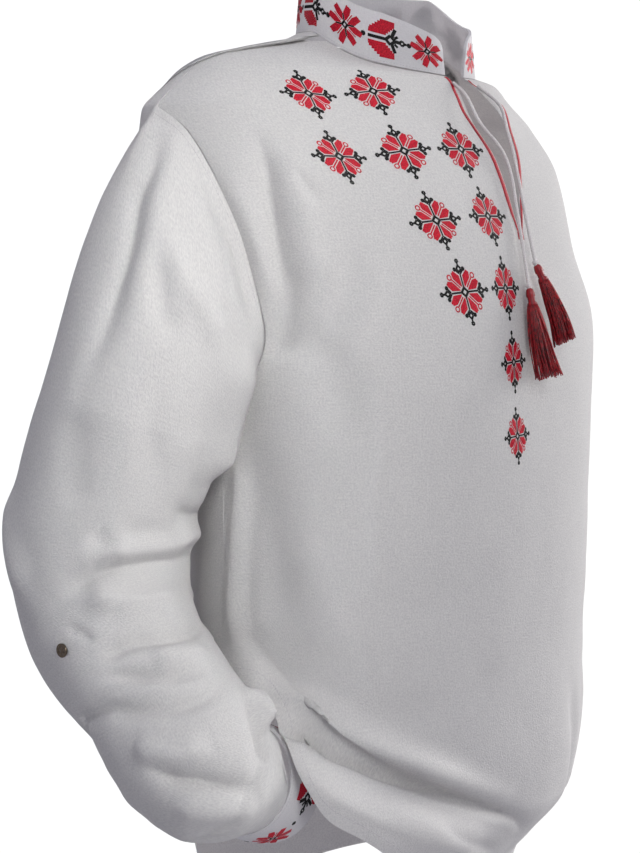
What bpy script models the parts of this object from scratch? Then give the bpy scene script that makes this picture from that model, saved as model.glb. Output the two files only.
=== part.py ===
"""A worn embroidered linen shirt (vyshyvanka): hollow cloth, two sleeves, stand collar with an open slit and tassel ties.

Metres, +Z up. The wearer faces -Y and +X is the wearer's left.
The origin is midway between the two points where the shoulder seams meet the neck.
"""
import math

import bpy
import numpy as np

WALL = 0.0016      # thickness of every cloth wall
GAP = 0.0003       # clear space between two pieces at a seam
ROUND = 2.1        # exponent of the body rings, 2 is an ellipse
CLEAR = 0.0035     # least room between a sleeve and the body

# The body at each height: half width on the wearer's right and left, depth in front and behind, where its side lies.
BODY = np.array([
    # height, right,  left,  front,  back,  side
    (0.000, 0.066, 0.066, 0.002, 0.066, 0.010),
    (-0.009, 0.082, 0.082, 0.006, 0.076, 0.0135),
    (-0.014, 0.096, 0.094, 0.012, 0.081, 0.016),
    (-0.026, 0.150, 0.118, 0.028, 0.092, 0.021),
    (-0.035, 0.184, 0.128, 0.046, 0.100, 0.026),
    (-0.041, 0.195, 0.132, 0.0645, 0.105, 0.029),
    (-0.047, 0.203, 0.135, 0.082, 0.110, 0.032),
    (-0.060, 0.214, 0.146, 0.093, 0.119, 0.038),
    (-0.080, 0.232, 0.179, 0.104, 0.130, 0.043),
    (-0.120, 0.235, 0.197, 0.128, 0.142, 0.038),
    (-0.180, 0.225, 0.194, 0.149, 0.146, 0.026),
    (-0.250, 0.212, 0.214, 0.163, 0.142, 0.014),
    (-0.330, 0.204, 0.195, 0.170, 0.132, 0.004),
    (-0.420, 0.200, 0.189, 0.169, 0.124, 0.000),
    (-0.520, 0.200, 0.188, 0.164, 0.126, 0.000),
    (-0.600, 0.200, 0.188, 0.161, 0.132, 0.000),
    (-0.660, 0.196, 0.184, 0.150, 0.134, 0.000),
    (-0.700, 0.192, 0.158, 0.118, 0.132, 0.000),
    (-0.720, 0.191, 0.144, 0.101, 0.131, 0.000),
    (-0.770, 0.188, 0.130, 0.086, 0.128, 0.000),
])
# Height of the hem around the body; turn 0 is the front centre, -90 the wearer's right side.
HEM = np.array([
    # turn,  height
    (-180, -0.758), (-150, -0.745), (-125, -0.670), (-105, -0.562), (-92, -0.540), (-80, -0.541), (-72, -0.556),
    (-66, -0.581), (-61, -0.610), (-56, -0.638), (-48, -0.657), (-39, -0.680), (-25, -0.722), (-8, -0.752), (20, -0.756),
    (50, -0.745), (90, -0.725), (130, -0.742), (180, -0.758),
])
# The crease above the flap that lies over the right cuff, and how far the flap stands out below it.
FLAP = np.array([
    # turn, height, out
    (-130, -0.600, 0.0), (-100, -0.520, 0.004), (-85, -0.500, 0.012), (-72, -0.530, 0.034), (-60, -0.566, 0.051),
    (-48, -0.594, 0.044), (-36, -0.616, 0.031), (-20, -0.642, 0.018), (-5, -0.664, 0.010), (15, -0.690, 0.0),
])
# One armhole, from the shoulder point round the front to the underarm and back.
ARMHOLE = np.array([
    # round, turn,  height
    (0, 90.0, -0.078), (30, 80.0, -0.098), (60, 73.5, -0.142), (90, 71.5, -0.200), (120, 71.5, -0.252),
    (150, 76.0, -0.290), (180, 90.0, -0.306), (210, 104.0, -0.292), (240, 108.0, -0.255), (270, 106.5, -0.205),
    (300, 103.0, -0.148), (330, 98.5, -0.098), (360, 90.0, -0.078),
])
# Rings of the right sleeve below the armhole: middle, the way the sleeve runs there, half width across and half depth.
SLEEVE_RIGHT = np.array([
    # x,      y,      z,     dx,    dy,    dz,   across, deep
    (-0.258, 0.045, -0.325, -0.18, 0.25, -0.95, 0.075, 0.077),
    (-0.266, 0.064, -0.385, -0.10, 0.22, -0.97, 0.073, 0.075),
    (-0.270, 0.071, -0.440, -0.02, -0.05, -1.0, 0.073, 0.073),
    (-0.273, 0.055, -0.497, 0.02, -0.42, -0.90, 0.067, 0.069),
    (-0.274, 0.008, -0.545, 0.20, -0.52, -0.80, 0.063, 0.065),
    (-0.271, -0.030, -0.582, 0.48, -0.42, -0.74, 0.064, 0.060),
    (-0.261, -0.047, -0.604, 0.78, -0.08, -0.58, 0.058, 0.052),
    (-0.236, -0.053, -0.610, 0.91, 0.26, -0.30, 0.044, 0.043),
])
SLEEVE_LEFT = np.array([
    (0.258, 0.052, -0.325, 0.14, 0.25, -0.95, 0.080, 0.076),
    (0.266, 0.074, -0.395, 0.08, 0.22, -0.97, 0.074, 0.074),
    (0.270, 0.086, -0.460, 0.02, 0.08, -1.0, 0.068, 0.072),
    (0.270, 0.088, -0.520, -0.02, -0.02, -1.0, 0.064, 0.068),
    (0.267, 0.082, -0.580, -0.06, -0.12, -0.99, 0.061, 0.064),
    (0.262, 0.072, -0.628, -0.10, -0.18, -0.97, 0.057, 0.058),
    (0.258, 0.066, -0.655, -0.12, -0.20, -0.96, 0.043, 0.043),
])
CUFF_LONG = 0.052
# The collar's foot seen from above, and the edges of the slit down the front.
NECK_WIDE, NECK_FRONT, NECK_BACK = 0.080, 0.080, 0.074
SLIT = np.array([
    # height, right edge, left edge, the left edge stands out
    (-0.030, -0.013, 0.012, 0.000), (-0.050, -0.013, 0.013, 0.000), (-0.060, -0.0155, 0.026, 0.004),
    (-0.072, -0.016, 0.030, 0.008), (-0.092, -0.011, 0.024, 0.007), (-0.115, -0.006, 0.018, 0.005),
    (-0.140, -0.004, 0.010, 0.003), (-0.160, -0.0035, 0.005, 0.001), (-0.178, -0.0012, 0.0012, 0.000),
])
SLIT_END = -0.178


def table(rows, x, column):
    """A smooth curve through a table's rows, read at x."""
    xs, ys = rows[:, 0], rows[:, column]
    if xs[0] > xs[-1]:
        xs, ys = xs[::-1], ys[::-1]
    x = min(max(x, xs[0]), xs[-1])
    i = min(max(int(np.searchsorted(xs, x)) - 1, 0), len(xs) - 2)
    rise = np.diff(ys) / np.diff(xs)
    slope = [rise[0], *((a * b > 0) * 2 * a * b / (a + b or 1) for a, b in zip(rise, rise[1:])), rise[-1]]
    h = xs[i + 1] - xs[i]
    t = (x - xs[i]) / h
    return ((1 + 2 * t) * (1 - t) ** 2 * ys[i] + t * (1 - t) ** 2 * h * slope[i]
            + t * t * (3 - 2 * t) * ys[i + 1] - t * t * (1 - t) * h * slope[i + 1])


def ring(turn, height, more=0.0):
    """A point of the body ring at a height, the ring made wider by more."""
    a = math.radians(turn)
    s, c = math.sin(a), math.cos(a)
    mid = table(BODY, height, 5)
    width = table(BODY, height, 2 if s > 0 else 1) + more
    depth = (table(BODY, height, 3) + mid if c > 0 else table(BODY, height, 4) - mid) + more
    return np.array([math.copysign(abs(s) ** (2 / ROUND), s) * width,
                     mid - math.copysign(abs(c) ** (2 / ROUND), c) * depth, height])


def turn_at(p):
    """The turn of a point, and how far out it lies: 1 is on the body."""
    mid = table(BODY, p[2], 5)
    width = table(BODY, p[2], 2 if p[0] > 0 else 1)
    depth = table(BODY, p[2], 3) + mid if p[1] < mid else table(BODY, p[2], 4) - mid
    s, c = (abs(p[0]) / width) ** (ROUND / 2), (abs(p[1] - mid) / depth) ** (ROUND / 2)
    turn = math.degrees(math.atan2(math.copysign(s, p[0]), math.copysign(c, mid - p[1])))
    out = flap(turn, p[2])
    s, c = (abs(p[0]) / (width + out)), (abs(p[1] - mid) / (depth + out))
    return turn, (s ** ROUND + c ** ROUND) ** (1 / ROUND)


def flap(turn, height):
    """How far the front flap stands out over the right cuff."""
    if not FLAP[0, 0] < turn < FLAP[-1, 0]:
        return 0.0
    t = min(max((table(FLAP, turn, 1) - height) / 0.045, 0.0), 1.0)
    return max(table(FLAP, turn, 2), 0.0) * t * t * (3 - 2 * t)


def torso(turn, height):
    """The body with its flap, before the folds."""
    return ring(turn, height, flap(turn, height))


def neck(t):
    """The foot of the collar; t is 0 at the front centre."""
    a = math.radians(t)
    x, y = NECK_WIDE * math.sin(a), -(NECK_FRONT if math.cos(a) > 0 else NECK_BACK) * math.cos(a)
    low, high = -0.09, -0.0005
    for _ in range(30):
        z = (low + high) / 2
        if turn_at(np.array([x, y, z]))[1] > 1:
            high = z
        else:
            low = z
    return np.array([x, y, z])


def armhole(side, turn):
    """A point of an armhole; 0 is the shoulder, 90 the front, 180 the underarm."""
    turn %= 360
    return torso(side * table(ARMHOLE, turn, 1), table(ARMHOLE, turn, 2))


def carried(rows, side):
    """The two directions across a sleeve at each ring, carried along it without twist."""
    out, a = [], np.array([side, 0.0, 0.0])
    for row in rows:
        d = row[3:6] / np.linalg.norm(row[3:6])
        a = a - d * (a @ d)
        a = a / np.linalg.norm(a)
        b = np.cross(d, a) * side
        out.append((d, a, b))
    return out


ARMS = {-1: (SLEEVE_RIGHT, carried(SLEEVE_RIGHT, -1)), 1: (SLEEVE_LEFT, carried(SLEEVE_LEFT, 1))}


LEAN = 25.0    # the underarm seam runs this many degrees forward of the sleeve's inner side


def arm_ring(side, k, turn):
    """A point of one ring of a sleeve, and the way the sleeve runs there."""
    rows, ways = ARMS[side]
    k = min(max(k, 0), len(rows) - 1)
    d, a, b = ways[k]
    turn = math.radians(turn - LEAN * math.sin(math.radians(turn / 2)) ** 2)
    return rows[k, :3] + a * rows[k, 6] * math.cos(turn) + b * rows[k, 7] * math.sin(turn), d


def sleeve(side, t, turn):
    """A sleeve before its folds: t is 0 at the armhole and counts the rings of its table from 1."""
    rows = ARMS[side][0]
    c, s = math.cos(math.radians(turn)), math.sin(math.radians(turn))
    if t < 1:
        p0 = armhole(side, turn)
        p1, d1 = arm_ring(side, 0, turn)
        low = (1 - c) / 2
        d0 = np.array([side * (0.58 + 0.37 * low), -0.25 * s, -0.55 + 0.35 * low])
        reach = 0.26 * (1 - low) + 0.10 * low
        return ((2 * t ** 3 - 3 * t ** 2 + 1) * p0 + (t ** 3 - 2 * t ** 2 + t) * d0 * reach
                + (3 * t ** 2 - 2 * t ** 3) * p1 + (t ** 3 - t ** 2) * d1 * reach)
    k = min(int(t - 1), len(rows) - 2)
    u = t - 1 - k
    q = [arm_ring(side, j, turn)[0] for j in (k - 1, k, k + 1, k + 2)]
    return 0.5 * (2 * q[1] + (q[2] - q[0]) * u + (2 * q[0] - 5 * q[1] + 4 * q[2] - q[3]) * u * u
                  + (3 * q[1] - q[0] - 3 * q[2] + q[3]) * u ** 3)


def clear_of_body(p, room):
    """Moves a point of a sleeve out until it has room to the body, down to the hem."""
    if p[2] < -0.74 or room <= 0:
        return p
    turn, out = turn_at(p)
    hem = table(HEM, turn, 1)
    t = min(max((p[2] - hem + 0.030) / 0.022, 0.0), 1.0)
    if t <= 0:
        return p
    mid = np.array([0.0, table(BODY, p[2], 5), p[2]])
    r = np.linalg.norm(p - mid) / out
    need = 1 + room / r
    return mid + (p - mid) * (1 + t * (need / out - 1)) if out < need else p


# Folds: lines over the cloth, each with how far it spreads to either side and how high it stands (below 0, how deep).
BODY_FOLDS = [
    # spread, height, line of (turn, height)
    (0.014, -0.0065, [(-61, -0.096), (-58, -0.135), (-63, -0.180), (-65, -0.215)]),
    (0.012, -0.0035, [(-50, -0.125), (-49, -0.160)]),
    (0.013, 0.0040, [(-71, -0.130), (-68, -0.190), (-66, -0.262)]),
    (0.016, 0.0035, [(-54, -0.110), (-54, -0.170), (-57, -0.215)]),
    (0.018, -0.0040, [(-62, -0.250), (-55, -0.300), (-52, -0.360)]),
    (0.015, -0.0060, [(-70, -0.560), (-62, -0.572), (-52, -0.594), (-38, -0.622), (-15, -0.654), (10, -0.690)]),
    (0.015, 0.0040, [(-68, -0.525), (-58, -0.548), (-38, -0.594), (-12, -0.630)]),
    (0.016, 0.0045, [(-36, -0.655), (-22, -0.680), (-6, -0.705)]),
    (0.022, -0.0045, [(-78, -0.340), (-76, -0.420), (-72, -0.500)]),
    (0.022, 0.0035, [(-62, -0.420), (-60, -0.520)]),
    (0.014, -0.0060, [(58, -0.105), (56, -0.145), (62, -0.190), (66, -0.230)]),
    (0.018, -0.0045, [(50, -0.280), (46, -0.360), (50, -0.440)]),
    (0.016, 0.0045, [(60, -0.300), (56, -0.400), (60, -0.520)]),
    (0.014, -0.0050, [(20, -0.560), (34, -0.640), (38, -0.740)]),
    (0.016, 0.0055, [(46, -0.540), (54, -0.640), (56, -0.735)]),
    (0.018, -0.0060, [(134, -0.130), (138, -0.230), (142, -0.340)]),
    (0.016, 0.0050, [(124, -0.200), (125, -0.300), (128, -0.420)]),
    (0.020, -0.0060, [(-136, -0.130), (-139, -0.240), (-144, -0.350)]),
    (0.016, 0.0050, [(-123, -0.200), (-124, -0.310), (-125, -0.430)]),
    (0.022, -0.0060, [(160, -0.380), (152, -0.500), (156, -0.640), (160, -0.750)]),
    (0.022, 0.0060, [(-176, -0.420), (-172, -0.560), (-178, -0.740)]),
    (0.020, -0.0070, [(-152, -0.400), (-146, -0.520), (-140, -0.660)]),
    (0.018, 0.0060, [(130, -0.480), (126, -0.600), (132, -0.730)]),
]
RIGHT_FOLDS = [
    # spread, height, line of (rings along, turn)
    (0.012, -0.0060, [(0.10, 18), (0.36, 20), (0.60, 13), (0.95, 6)]),
    (0.016, 0.0055, [(0.22, 44), (0.42, 64), (0.60, 90)]),
    (0.013, -0.0045, [(0.10, 48), (0.16, 70), (0.28, 95)]),
    (0.014, 0.0050, [(0.10, 30), (0.45, 36), (0.85, 40)]),
    (0.011, -0.0085, [(3.40, 41), (3.30, 81), (3.00, 148)]),
    (0.013, 0.0080, [(2.70, 139), (2.85, 90), (3.00, 43)]),
    (0.013, 0.0075, [(3.80, 32), (3.85, 78), (3.70, 151)]),
    (0.010, -0.0070, [(4.45, 14), (4.74, 57), (4.50, 112), (4.20, 162)]),
    (0.012, 0.0065, [(4.95, 32), (5.00, 78), (4.90, 127)]),
    (0.009, -0.0060, [(4.62, 348), (5.10, 6), (5.42, 38), (5.52, 90)]),
    (0.012, 0.0070, [(5.30, 350), (5.70, 15), (5.90, 66)]),
    (0.010, -0.0080, [(5.94, 10), (6.30, 34), (6.84, 83)]),
    (0.011, 0.0075, [(6.40, 8), (6.80, 32), (7.10, 66)]),
    (0.011, 0.0080, [(5.85, 120), (6.30, 141), (6.95, 136)]),
    (0.009, -0.0060, [(6.10, 100), (6.60, 107), (7.20, 110)]),
    (0.010, -0.0060, [(5.04, 344), (5.52, 352)]),
    (0.014, -0.0080, [(2.60, 233), (3.00, 195), (3.20, 173)]),
    (0.014, 0.0080, [(3.40, 224), (3.70, 193), (3.90, 173)]),
    (0.016, 0.0060, [(2.20, 306), (2.90, 332), (3.50, 350)]),
    (0.016, -0.0060, [(4.40, 275), (4.90, 306), (5.40, 332)]),
    (0.014, 0.0060, [(5.20, 259), (5.80, 282), (6.40, 323)]),
    (0.012, -0.0060, [(6.30, 306), (6.90, 290), (7.50, 282)]),
    (0.012, -0.0060, [(6.30, 215), (6.90, 205), (7.60, 195)]),
]
LEFT_FOLDS = [
    (0.014, -0.0055, [(0.10, 20), (0.40, 22), (0.90, 10)]),
    (0.016, 0.0050, [(0.25, 46), (0.50, 70), (0.80, 92)]),
    (0.014, 0.0050, [(0.20, 320), (0.60, 330), (1.20, 341)]),
    (0.014, -0.0070, [(2.40, 32), (2.70, 102), (2.40, 173)]),
    (0.014, 0.0070, [(2.80, 21), (3.20, 102), (2.90, 184)]),
    (0.013, -0.0070, [(3.60, 350), (3.80, 66), (3.50, 151)]),
    (0.013, 0.0070, [(4.20, 341), (4.40, 43), (4.10, 127)]),
    (0.012, -0.0070, [(4.80, 21), (5.00, 102), (4.90, 184)]),
    (0.013, 0.0070, [(5.40, 43), (5.60, 115), (5.40, 195)]),
    (0.013, -0.0065, [(3.40, 224), (3.80, 275), (4.30, 323)]),
    (0.014, 0.0065, [(4.20, 215), (4.60, 259), (5.20, 306)]),
    (0.011, -0.0060, [(5.80, 10), (6.60, 14)]),
    (0.011, -0.0060, [(5.80, 151), (6.60, 146)]),
    (0.011, -0.0060, [(5.80, 267), (6.60, 264)]),
]


def laid(folds, surface):
    """The folds with their lines turned into points on a surface."""
    return [(spread, high, np.array([surface(*p) for p in line])) for spread, high, line in folds]


def folded(points, normals, folds):
    """Moves points along their normals by the folds near them."""
    points = points.reshape(-1, 3)
    move = np.zeros(len(points))
    for spread, high, line in folds:
        near, share = np.full(len(points), 9.0), np.zeros(len(points))
        for k in range(len(line) - 1):
            along = line[k + 1] - line[k]
            t = np.clip((points - line[k]) @ along / (along @ along), 0, 1)
            away = np.linalg.norm(points - line[k] - t[:, None] * along, axis=1)
            share = np.where(away < near, (k + t) / (len(line) - 1), share)
            near = np.minimum(near, away)
        fade = np.clip(np.minimum(share, 1 - share) * 5 + 0.25, 0, 1)
        move += high * fade * np.exp(-(near / spread) ** 2)
    return points + normals.reshape(-1, 3) * move[:, None]


def vertex_normals(points, faces):
    """The mean way out at each point of a sheet of faces."""
    n = np.zeros_like(points)
    for f in faces:
        for k in range(1, len(f) - 1):
            face = np.cross(points[f[k]] - points[f[0]], points[f[k + 1]] - points[f[0]])
            for i in (f[0], f[k], f[k + 1]):
                n[i] += face
    return n / np.maximum(np.linalg.norm(n, axis=1), 1e-12)[:, None]


def halves(faces, points=None):
    """Each four-sided face as two triangles, cut along its shorter diagonal where points are given."""
    out = []
    for f in faces:
        if len(f) == 3:
            out.append(f)
        elif points is not None and np.linalg.norm(points[f[1]] - points[f[3]]) < np.linalg.norm(points[f[0]] - points[f[2]]):
            out += [(f[0], f[1], f[3]), (f[1], f[2], f[3])]
        else:
            out += [(f[0], f[1], f[2]), (f[0], f[2], f[3])]
    return out


def add(name, points, faces):
    """Adds one closed solid."""
    mesh = bpy.data.meshes.new(name)
    mesh.from_pydata([tuple(float(v) for v in p) for p in points], [], [tuple(int(i) for i in f) for f in faces])
    mesh.update()
    bpy.context.collection.objects.link(bpy.data.objects.new(name, mesh))


def cloth(name, points, faces, wall=WALL, seams={}):
    """A closed solid of one wall's thickness under a sheet of faces; seams gives the way out where two pieces meet."""
    faces = halves(faces, points)
    normals, count = vertex_normals(points, faces), len(points)
    for v, way in seams.items():
        n = normals[v] * 0.35 + np.array(way) * 0.65
        normals[v] = n / np.linalg.norm(n)
    edges = {(f[k], f[(k + 1) % 3]) for f in faces for k in range(3)}
    rim = [(a, a + count, b + count, b) for a, b in edges if (b, a) not in edges]
    back = [(f[2] + count, f[1] + count, f[0] + count) for f in faces]
    add(name, np.vstack([points, points - normals * wall]), faces + back + halves(rim))


def grid(rows, columns, closed=False, start=0):
    """The four-sided faces of rows of points."""
    return [(start + i * columns + j, start + (i + 1) * columns + j, start + (i + 1) * columns + (j + 1) % columns,
             start + i * columns + (j + 1) % columns)
            for i in range(rows - 1) for j in range(columns - (0 if closed else 1))]


# ---- pieces
FRONT_RIGHT = [0, 7, 15, 24, 33, 41, 48, 54, 58, 61, 64, 68, 73, 81, 90]
FRONT_LEFT = [0, 5, 12, 21, 32, 44, 56, 68, 79, 90]
BACK_COLUMNS = [0, 9, 18, 27, 36, 45, 54, 63, 72, 81, 90]
HEIGHTS = [-0.090, -0.116, -0.145, SLIT_END, -0.210, -0.240, -0.270, -0.292, -0.310]
LOW = [0.09, 0.18, 0.27, 0.36, 0.45, 0.54, 0.62, 0.69, 0.76, 0.83, 0.885, 0.94, 1.0]
TOP_ROWS = 4
SHOULDER_COLUMNS = 5


def slit_turn(side, height):
    """How far round from the centre the slit's edge lies."""
    if height <= SLIT_END:
        return 0.0
    x = table(SLIT, height, 1 if side < 0 else 2)
    share = abs(x) / table(BODY, height, 1 if x < 0 else 2)
    return math.copysign(math.degrees(math.asin(share ** (ROUND / 2))), x)


def panel_point(side, front, turn, height):
    """A point of the front or back before the folds, its slit edge standing out."""
    p = torso(turn, height)
    if front and side > 0 and height > SLIT_END:
        lift = table(SLIT, height, 3) * math.exp(-((turn - slit_turn(1, height)) / 8.0) ** 2)
        p = p + np.array([0.25, -0.97, 0.0]) * lift
    return p


def way_out(turn, height):
    """The way out of the body at a point, looked at from both sides of it."""
    n = np.cross(torso(turn, height - 0.003) - torso(turn, height + 0.003), torso(turn + 2, height) - torso(turn - 2, height))
    return n / np.linalg.norm(n)


def half_panel(side, front, columns):
    """Rows of turn and height of one half of the front or back, each from the centre to the side."""
    necks = len(columns) - SHOULDER_COLUMNS
    rows = []

    def at(share, height):
        edge = slit_turn(side, height) if front else 0.0
        out = side * (edge + (90 * side - edge) * share) if front else 0
        return out if front else 180 - 90 * share

    def seam_turn(height):
        """The turn of the panel's side edge at a height, just clear of the sleeve and the other panel."""
        if height > ARMHOLE[0, 2]:
            return 90.0
        if height < ARMHOLE[6, 2]:
            return 90.0
        part = ARMHOLE[:7] if front else ARMHOLE[6:][::-1]
        heights = part[:, 2]
        k = int(np.searchsorted(-heights, -height))
        k = min(max(k, 1), 6)
        t = (height - heights[k - 1]) / (heights[k] - heights[k - 1])
        r = part[k - 1, 0] + t * (part[k, 0] - part[k - 1, 0])
        for _ in range(12):
            r += (table(ARMHOLE, r, 2) - height) * (400 if front else -400)
            r = min(max(r, 0), 180) if front else min(max(r, 180), 360)
        return table(ARMHOLE, r, 1)

    # the top edge: round the neck, then down the shoulder seam
    top = []
    first = math.degrees(math.asin(abs(table(SLIT, -0.045, 1 if side < 0 else 2)) / NECK_WIDE)) if front else 0.0
    for k in range(len(columns)):
        if k < necks:
            t = first + (86 - first) * k / (necks - 0.6)
            p = neck(side * (t if front else 180 - t))
            top.append((abs(turn_at(p)[0]), p[2]))
        else:
            s = (k - necks + 0.6) / (len(columns) - 1 - necks + 0.6)
            top.append((90.0, -0.0145 - 0.0595 * s))
    level = HEIGHTS[0]
    base = []
    for c in columns:
        edge = abs(slit_turn(side, level)) * (1 if front else 0)
        t = edge + (90 - edge) * c / 90
        base.append((t if front else 180 - c, level))
    sign = 1 if side > 0 else -1
    for i in range(TOP_ROWS):
        s = (i / TOP_ROWS) ** 0.9
        rows.append([(a[0] + (b[0] - a[0]) * s, a[1] + (b[1] - a[1]) * s) for a, b in zip(top, base)])
    for height in HEIGHTS:
        edge = abs(slit_turn(side, height)) if front else 0.0
        stop = seam_turn(height)
        if front:
            rows.append([(edge + (stop - edge) * c / 90, height) for c in columns])
        else:
            rows.append([(180 - (180 - stop) * c / 90, height) for c in columns])
    for s in LOW:
        row = []
        for c in columns:
            turn = c if front else 180 - c
            row.append((turn, HEIGHTS[-1] + (table(HEM, sign * turn, 1) - HEIGHTS[-1]) * s))
        rows.append(row)
    return [[(sign * t, z) for t, z in row] for row in rows]


def panel(name, front):
    """The front, open down its slit, or the back."""
    halves_ = {s: half_panel(s, front, (FRONT_RIGHT if s < 0 else FRONT_LEFT) if front else BACK_COLUMNS)
               for s in (-1, 1)}
    points, faces, index, seams = [], [], {}, {}
    slit_row = TOP_ROWS + HEIGHTS.index(SLIT_END)
    for s, rows in halves_.items():
        for i, row in enumerate(rows):
            for j, p in enumerate(row):
                if j == 0 and (not front or i >= slit_row) and s > 0:
                    index[s, i, j] = index[-1, i, 0]
                    continue
                index[s, i, j] = len(points)
                if j == len(row) - 1 or (i == 0 and abs(p[0]) == 90):
                    seams[len(points)] = way_out(*p)
                points.append(panel_point(s, front, *p))
        for i in range(len(rows) - 1):
            for j in range(len(rows[0]) - 1):
                f = (index[s, i, j], index[s, i + 1, j], index[s, i + 1, j + 1], index[s, i, j + 1])
                faces.append(f if (s > 0) == front else f[::-1])
    points = np.array(points)
    normals = vertex_normals(points, halves(faces))
    points = folded(points, normals, laid(BODY_FOLDS, torso))
    # draw the edges back from the seams
    edge = {}
    pairs = {(f[k], f[(k + 1) % len(f)]) for f in faces for k in range(len(f))}
    for a, b in pairs:
        if (b, a) not in pairs:
            inward = np.cross(normals[a] + normals[b], points[b] - points[a])
            inward /= np.linalg.norm(inward)
            for v in (a, b):
                edge.setdefault(v, []).append(inward)
    for v, ways in edge.items():
        w = np.mean(ways, axis=0)
        points[v] += w / max(np.linalg.norm(w), 0.3) * 0.0005
    cloth(name, points, faces, seams=seams)


def lifted(side, turn):
    """The sleeve's first edge: on the armhole line, lapped over the panel."""
    turn %= 360
    return armhole(side, turn) + way_out(side * table(ARMHOLE, turn, 1), table(ARMHOLE, turn, 2)) * (WALL + 0.0007)


def arm(name, side, folds, along, round_):
    """One sleeve, from the armhole to the cuff."""
    last = len(ARMS[side][0])
    raw = np.array([[sleeve(side, last * (i / (along - 1)) ** 1.15 if i else 0.0, 360 * j / round_)
                     for j in range(round_)] for i in range(along)])
    faces = grid(along, round_, closed=True)
    if side > 0:
        faces = [f[::-1] for f in faces]
    flat = raw.reshape(-1, 3)
    normals = vertex_normals(flat, halves(faces))
    moved = folded(flat, normals, laid(folds, lambda t, a: sleeve(side, t, a))).reshape(raw.shape)
    for i in range(along):
        t = last * (i / (along - 1)) ** 1.15 if i else 0.0
        if i == along - 1:
            moved[i] = raw[i]
            continue
        for j in range(round_):
            room = WALL + 0.0017 + CLEAR * min(t * 2.5, 1)
            if i == 0:
                moved[i, j] = lifted(side, 360 * j / round_)
            else:
                moved[i, j] = clear_of_body(moved[i, j], room)
    cloth(name, moved.reshape(-1, 3), faces)
    return moved


def cuff(name, side, round_=24):
    """The band at the end of a sleeve."""
    rows, ways = ARMS[side]
    d, a, b = ways[-1]
    points = []
    for s in (0.0, 0.12, 0.5, 0.88, 1.0):
        grow = 0.0006 + 0.0016 * math.sin(math.pi * s) ** 0.5 + 0.0012 * s
        for j in range(round_):
            t = 2 * math.pi * j / round_
            points.append(rows[-1, :3] + d * (GAP + 0.0002 + CUFF_LONG * s)
                          + a * (rows[-1, 6] + grow) * math.cos(t) + b * (rows[-1, 7] + grow) * math.sin(t))
    faces = grid(5, round_, closed=True)
    cloth(name, np.array(points), faces if side < 0 else [f[::-1] for f in faces], 0.0022)


def collar(name):
    """The stand collar, its two front corners rounded and its left end turned a little outward."""
    right = math.degrees(math.asin(0.013 / NECK_WIDE))
    left = math.degrees(math.asin(0.012 / NECK_WIDE))
    ts = [-right, -right - 4, -right - 9, -right - 16, *(-40 - 14.4 * k for k in range(20)),
          left + 16 - 360, left + 9 - 360, left + 4 - 360, left - 360]
    points = []
    for k, t in enumerate(ts):
        foot = neck(t)
        from_end = min(k, len(ts) - 1 - k)
        high = 0.042 - (0.0200, 0.0125, 0.0092, 0.0068, 0.0025)[from_end] if from_end < 5 else 0.042
        out = np.array([foot[0], foot[1] + 0.003, 0.0])
        out /= np.linalg.norm(out)
        flare = 0.006 * (1, 0.6, 0.25)[len(ts) - 1 - k] if len(ts) - 1 - k < 3 else 0.0
        for s in (0.0, 0.35, 0.7, 1.0):
            points.append(foot + np.array([0, 0, 0.0009 + high * s]) + out * (flare * s - 0.0035 * s - 0.0004))
    cloth(name, np.array(points), [f[::-1] for f in grid(len(ts), 4)], 0.0024)


def on_front(x, height, off):
    """A point above the front, where x is the distance from the centre."""
    share = abs(x) / table(BODY, height, 1 if x < 0 else 2)
    p = torso(math.copysign(math.degrees(math.asin(share ** (ROUND / 2))), x), height)
    return p + np.array([0.3 * x / 0.1, -1.0, 0.0]) * off


def smooth(points, steps):
    """A smooth line through points."""
    p = np.array(points)
    p = np.vstack([2 * p[0] - p[1], p, 2 * p[-1] - p[-2]])
    out = []
    for k in range(1, len(p) - 2):
        for i in range(steps):
            u = i / steps
            out.append(0.5 * (2 * p[k] + (p[k + 1] - p[k - 1]) * u
                              + (2 * p[k - 1] - 5 * p[k] + 4 * p[k + 1] - p[k + 2]) * u * u
                              + (3 * p[k] - p[k - 1] - 3 * p[k + 1] + p[k + 2]) * u ** 3))
    return np.array(out + [p[-2]])


CORD_THICK = 0.003
RIGHT_CORD = [on_front(-0.0145, -0.052, 0.0012), on_front(-0.0165, -0.064, 0.0085), on_front(-0.0190, -0.088, 0.0125),
              on_front(-0.0080, -0.109, 0.0115), on_front(-0.0035, -0.129, 0.0085), on_front(-0.0062, -0.154, 0.0065),
              on_front(-0.0092, -0.190, 0.0060), on_front(-0.0130, -0.2235, 0.0080)]
LEFT_CORD = [on_front(0.0165, -0.0525, 0.0031), on_front(0.0190, -0.070, 0.0135), on_front(0.0110, -0.090, 0.0145),
             on_front(0.0055, -0.109, 0.0130), on_front(0.0030, -0.132, 0.0100), on_front(0.0006, -0.160, 0.0085),
             on_front(-0.0010, -0.2040, 0.0095)]
# Tassels: where the head's top is, and the way they hang.
TASSELS = {"right_tassel": (RIGHT_CORD[-1], np.array([0.02, -0.23, -0.97]), 0.074),
           "left_tassel": (LEFT_CORD[-1], np.array([0.30, -0.30, -0.90]), 0.064)}


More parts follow.
